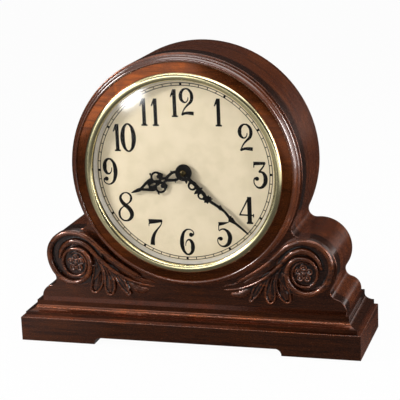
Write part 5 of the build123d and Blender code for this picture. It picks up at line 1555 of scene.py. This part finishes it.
@dataclass
class Studio:
    """Pale floor, soft lamps and the camera.

    Attributes:
        eye: the camera's place, in metres.
        azimuth: its direction round the object, in degrees.
        elevation: its height, in degrees.
        roll: its tilt, in degrees.
        lens: its focal length, in mm.
        sensor: its sensor's width, in mm.
        white_share: how far the floor is white whatever light falls on it.
        dim: strength of the front of the floor in reflections.
        near: what the floor a little to the left adds to it.
        lit: strength of the floor on the right in reflections.
        walls: strength of the walls and of the floor behind in reflections.
        sky: strength of the ceiling in reflections.
        ambient: strength of the diffuse light from all round.
    """

    eye: Spot = (0.393075, -1.301562, 0.484826)
    azimuth: float = 16.6543
    elevation: float = 14.6275
    roll: float = -2.3193
    lens: float = 136.285
    sensor: float = 36.0
    white_share: float = 0.97
    dim: float = 0.09
    near: float = 0.24
    lit: float = 1.0
    walls: float = 0.02
    sky: float = 0.6
    ambient: float = 0.16

    # Direction of the floor's bright side, and where its grades and the ceiling start and end
    SIDE_WAY = (0.9, 0.45)
    SIDE_EDGE = (0.52, 0.70)
    FRONT_EDGE = (-0.10, 0.10)
    LEFT_START = (0.04, 0.22)
    LEFT_END = (0.28, 0.45)
    SKY_EDGE = (0.35, 0.80)
    FLOOR_SIZE = 12.0
    # Places that two lamps share, and where the glare on the glass lies and comes from
    ABOVE = (-0.19, -0.69, 1.32)
    RIGHT = (0.80, -0.33, 0.38)
    GLARE_ON = Vector((-0.0376, -0.0423, 0.2312))
    GLARE_FROM = GLARE_ON + Vector((-0.5128, -0.852, 0.111)).normalized() * 2.2
    LAMPS = (
        Lamp("key", (-0.62, -0.44, 0.52), (0.16, 0.20), 5.0),
        Lamp("panel", (-0.50, -0.95, 0.28), (0.6, 0.4), 1.7),
        Lamp("front", ABOVE, (1.2, 0.07), 2.9),
        Lamp("top", (0.1, 0.45, 1.15), (1.4, 0.8), 5.0),
        Lamp("right", (0.90, 0.12, 0.30), (0.5, 0.5), 3.6),
        Lamp("strip", RIGHT, (0.05, 0.68), 2.0),
        Lamp("back", (0.75, 0.90, 0.40), (0.6, 0.6), 0.8),
        Lamp("gleam_top", ABOVE, (1.0, 0.12), 8.0, "turned_ring"),
        Lamp("gleam_right", RIGHT, (0.16, 0.50), 9.0, "turned_ring"),
        Lamp("card", (0.35, -0.35, 1.15), (1.2, 0.5), 3.6, "turned_bezel"),
        Lamp("glare", tuple(GLARE_FROM), (0.36, 0.09), 28.0, "lens", tuple(GLARE_ON), 37.0),
    )

    def camera(self) -> None:
        """Set up the camera."""
        turn, rise, tilt = (math.radians(angle) for angle in (self.azimuth, self.elevation, self.roll))
        back = Vector((math.sin(turn) * math.cos(rise), -math.cos(turn) * math.cos(rise), math.sin(rise)))
        level = Vector((math.cos(turn), math.sin(turn), 0.0))
        upright = back.cross(level)
        right = level * math.cos(tilt) + upright * math.sin(tilt)
        up = back.cross(right)
        data = bpy.data.cameras.new("camera")
        data.lens = self.lens
        data.sensor_width = self.sensor
        data.clip_start = 0.05
        camera = bpy.data.objects.new("camera", data)
        axes = Matrix((right, up, back)).transposed().to_4x4()
        camera.matrix_world = Matrix.Translation(Vector(self.eye)) @ axes
        bpy.context.collection.objects.link(camera)
        bpy.context.scene.camera = camera

    def floor(self) -> None:
        """Lay the floor: white to the camera, graded in reflections, and it keeps the shadow."""
        Bench.clear()
        bpy.ops.mesh.primitive_plane_add(size=self.FLOOR_SIZE)
        piece = bpy.context.object
        piece.name = "floor"
        nodes = Nodes.named("studio_floor", base_color=(0.7, 0.7, 0.7, 1.0), roughness=0.9)
        across, ahead, leftwards = nodes.axis("x"), nodes.axis("y") * -1.0, nodes.axis("x") * -1.0
        side = nodes.between(across * self.SIDE_WAY[0] + ahead * self.SIDE_WAY[1], *self.SIDE_EDGE)
        front = nodes.between(ahead, *self.FRONT_EDGE)
        left = nodes.between(leftwards, *self.LEFT_START) - nodes.between(leftwards, *self.LEFT_END)
        grey = self.walls + front * (self.dim - self.walls + left * self.near)
        shade = nodes.mix(grey + side * (self.lit - grey), BLACK, WHITE)
        mirrored = nodes.ray("Glossy")
        colour = nodes.mix(mirrored, WHITE, shade)
        white = nodes.add("ShaderNodeEmission", None, {"Color": colour, "Strength": 1.0})
        seen = nodes.math("MAXIMUM", nodes.ray("Camera") * self.white_share, mirrored)
        share = nodes.math("MAXIMUM", seen, nodes.ray("Transmission"))
        inputs = {0: share, 1: nodes.shader.outputs[0], 2: white.outputs[0]}
        mixed = nodes.add("ShaderNodeMixShader", None, inputs)
        nodes.feed(nodes.tree.nodes["Material Output"].inputs["Surface"], mixed.outputs[0])
        dress(piece, nodes.material)

    def world(self) -> None:
        """Set the world: white to the camera, soft for diffuse light, bright only overhead in reflections."""
        world = bpy.data.worlds.new("studio")
        bpy.context.scene.world = world
        nodes = Nodes(world, "Background", "Generated", color=(1.0, 1.0, 1.0, 1.0))
        mirrored = nodes.ray("Glossy")
        overhead = self.walls + nodes.between(nodes.axis("z"), *self.SKY_EDGE) * self.sky
        light = mirrored * overhead + (1.0 - mirrored) * self.ambient
        seen = nodes.math("MAXIMUM", nodes.ray("Camera"), nodes.ray("Transmission"))
        nodes.set("Strength", nodes.math("MAXIMUM", seen, light))

    def build(self) -> None:
        """Set up the whole studio."""
        self.camera()
        self.floor()
        self.world()
        for lamp in self.LAMPS:
            lamp.hang()
        bpy.context.scene.view_settings.view_transform = "Standard"


NUT = Metal("bronzed_nut", (0.10, 0.075, 0.035), (0.05, 0.04, 0.02), 0.22)
BOARD = Wood("cherry_board", Grain.ALONG_X)
# The carving's cherry: a lighter body than the boards as painted light, a darker deep colour, and painted
# shade in its hollows
CARVED = Wood("carved_cherry", Grain.ALONG_X, (0.014, 0.0060, 0.0045), (0.17, 0.046, 0.0150), lacquer=1.0,
              figure=1.0, sheen=0.6, carved=True)
# Copy of the cherry for the side faces: a redder body, thin lacquer and little sheen, painted light that
# makes them show lighter
SIDE_LIT_COPY = Wood("cherry_side", Grain.ALONG_Y, body=(0.14, 0.034, 0.0120), lacquer=0.12, sheen=0.45)
BEAD_WIDTH = 5.8
RING_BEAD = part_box("drum_ring")[1].x - BEAD_WIDTH * MM
WOODS = {
    "plinth_left": SIDE_LIT_COPY,
    "plinth_right": SIDE_LIT_COPY,
    "scroll_left": CARVED,
    "scroll_right": CARVED,
    "case_wrap": replace(SIDE_LIT_COPY, name="cherry_wrap", grain=Grain.ROUND_DRUM),
    # The back's copy has less lacquer and sheen so that it shows lighter with no lamp behind it, painted
    # light
    "plinth_back": replace(BOARD, name="cherry_back", lacquer=0.3, sheen=0.3),
    "moulded_board": replace(BOARD, name="moulded_cherry", lacquer=0.35),
    "drum_ring": Wood("turned_cherry", Grain.ALONG_X, (0.075, 0.0200, 0.0065), (0.135, 0.034, 0.0090),
                      (0.36, 0.088, 0.0170), lacquer=0.12, sheen=0.99, rough=0.15, bead=RING_BEAD),
}
FINISHES = {
    "pine": Moulded("sawn_pine", (0.46, 0.29, 0.13), (0.34, 0.19, 0.08), 0.6, 900.0),
    "back_board": Wood("back_board", Grain.ALONG_Z, (0.014, 0.007, 0.005), (0.055, 0.018, 0.011),
                       (0.11, 0.036, 0.016), lacquer=0.25, figure=0.5, sheen=0.1),
    "felt": Moulded("green_felt", (0.03, 0.05, 0.035), (0.015, 0.03, 0.02), 0.95, 2600.0, 0.0004),
    "polished_brass": Metal("polished_brass", (0.90, 0.80, 0.47), (0.80, 0.69, 0.37), 0.17, 0.04),
    "clock_glass": Glass("clock_glass"),
    "rubber": Moulded("black_rubber", (0.018, 0.018, 0.018), (0.03, 0.03, 0.03), 0.6),
    "silvered_ring": Metal("silvered_ring", (0.66, 0.63, 0.58), (0.56, 0.53, 0.48), 0.34, 0.08, True, 0.45),
    "dial_cream": Moulded("dial_cream", (0.80, 0.682, 0.480), (0.71, 0.605, 0.405), 0.6, 2600.0, 0.00001,
                          0.7),
    "hand_black": Moulded("black_lacquer", (0.006, 0.0055, 0.005), (0.012, 0.010, 0.009), 0.4, gloss=0.12),
    "steel": Metal("plated_steel", (0.56, 0.57, 0.58), (0.42, 0.42, 0.42), 0.24),
    "black_plastic": Moulded("black_plastic", (0.016, 0.016, 0.017), (0.026, 0.026, 0.027), 0.42, 2400.0),
    "pale_plastic": Moulded("pale_plastic", (0.72, 0.70, 0.62), (0.62, 0.60, 0.52), 0.4),
    "copper_wire": Metal("copper_wire", (0.72, 0.30, 0.13), (0.50, 0.18, 0.07), 0.25),
    "board_green": Moulded("circuit_green", (0.015, 0.11, 0.04), (0.01, 0.07, 0.03), 0.35),
    "cell_wrap": Moulded("cell_wrap", (0.05, 0.06, 0.09), (0.03, 0.035, 0.055), 0.3),
    "magnet": Metal("grey_magnet", (0.16, 0.16, 0.17), (0.10, 0.10, 0.10), 0.5),
    "cone_paper": Moulded("cone_paper", (0.035, 0.034, 0.032), (0.055, 0.052, 0.048), 0.85, 1500.0, 0.00015),
}


@dataclass
class Wardrobe:
    """The materials, made when they are first asked for."""

    def __post_init__(self) -> None:
        """Start with none."""
        self.made: dict[str, bpy.types.Material] = {}

    def make(self, finish: Union[Wood, Metal, Moulded, Glass]) -> bpy.types.Material:
        """Material of a finish.

        Args:
            finish: the finish.

        Returns:
            The material, the same one each time.
        """
        if finish.name not in self.made:
            self.made[finish.name] = finish.build()
        return self.made[finish.name]

    def wood(self, node: str) -> bpy.types.Material:
        """Stained cherry of one built piece."""
        return self.make(WOODS.get(node, BOARD))

    def finish(self, slot: str) -> bpy.types.Material:
        """Finish of one of the record's slots."""
        return self.make(FINISHES[slot])

    def dress_nodes(self) -> None:
        """Dress every built piece by its slot."""
        for row in frame["record"]["subparts"]:
            node, slot = row["node"], row["material_slot"]
            piece = frame["nodes"][node]
            if slot in ("cherry_wood", "carved_wood"):
                dress(piece, self.wood(node))
            elif node == "hand_nut":
                dress(piece, self.make(NUT))
            else:
                dress(piece, self.finish(slot))
            LOG.info("dressed %s", node)


def main() -> None:
    """Build the pieces in order, then the studio."""
    wardrobe = Wardrobe()
    wardrobe.dress_nodes()
    ink = wardrobe.finish("hand_black")
    pieces = Dial().build(ink)
    pieces += Hands().build(ink)
    pieces += Carving().build(wardrobe.wood("scroll_right"))
    pieces += Turning().build(wardrobe.wood("drum_ring"), wardrobe.finish("polished_brass"))
    pieces += Feet().build(wardrobe.finish("felt"))
    for piece in pieces:
        LOG.info("made %s: %d faces", piece.name, len(piece.data.polygons))
    Studio().build()


if __name__ == "__main__":
    main()
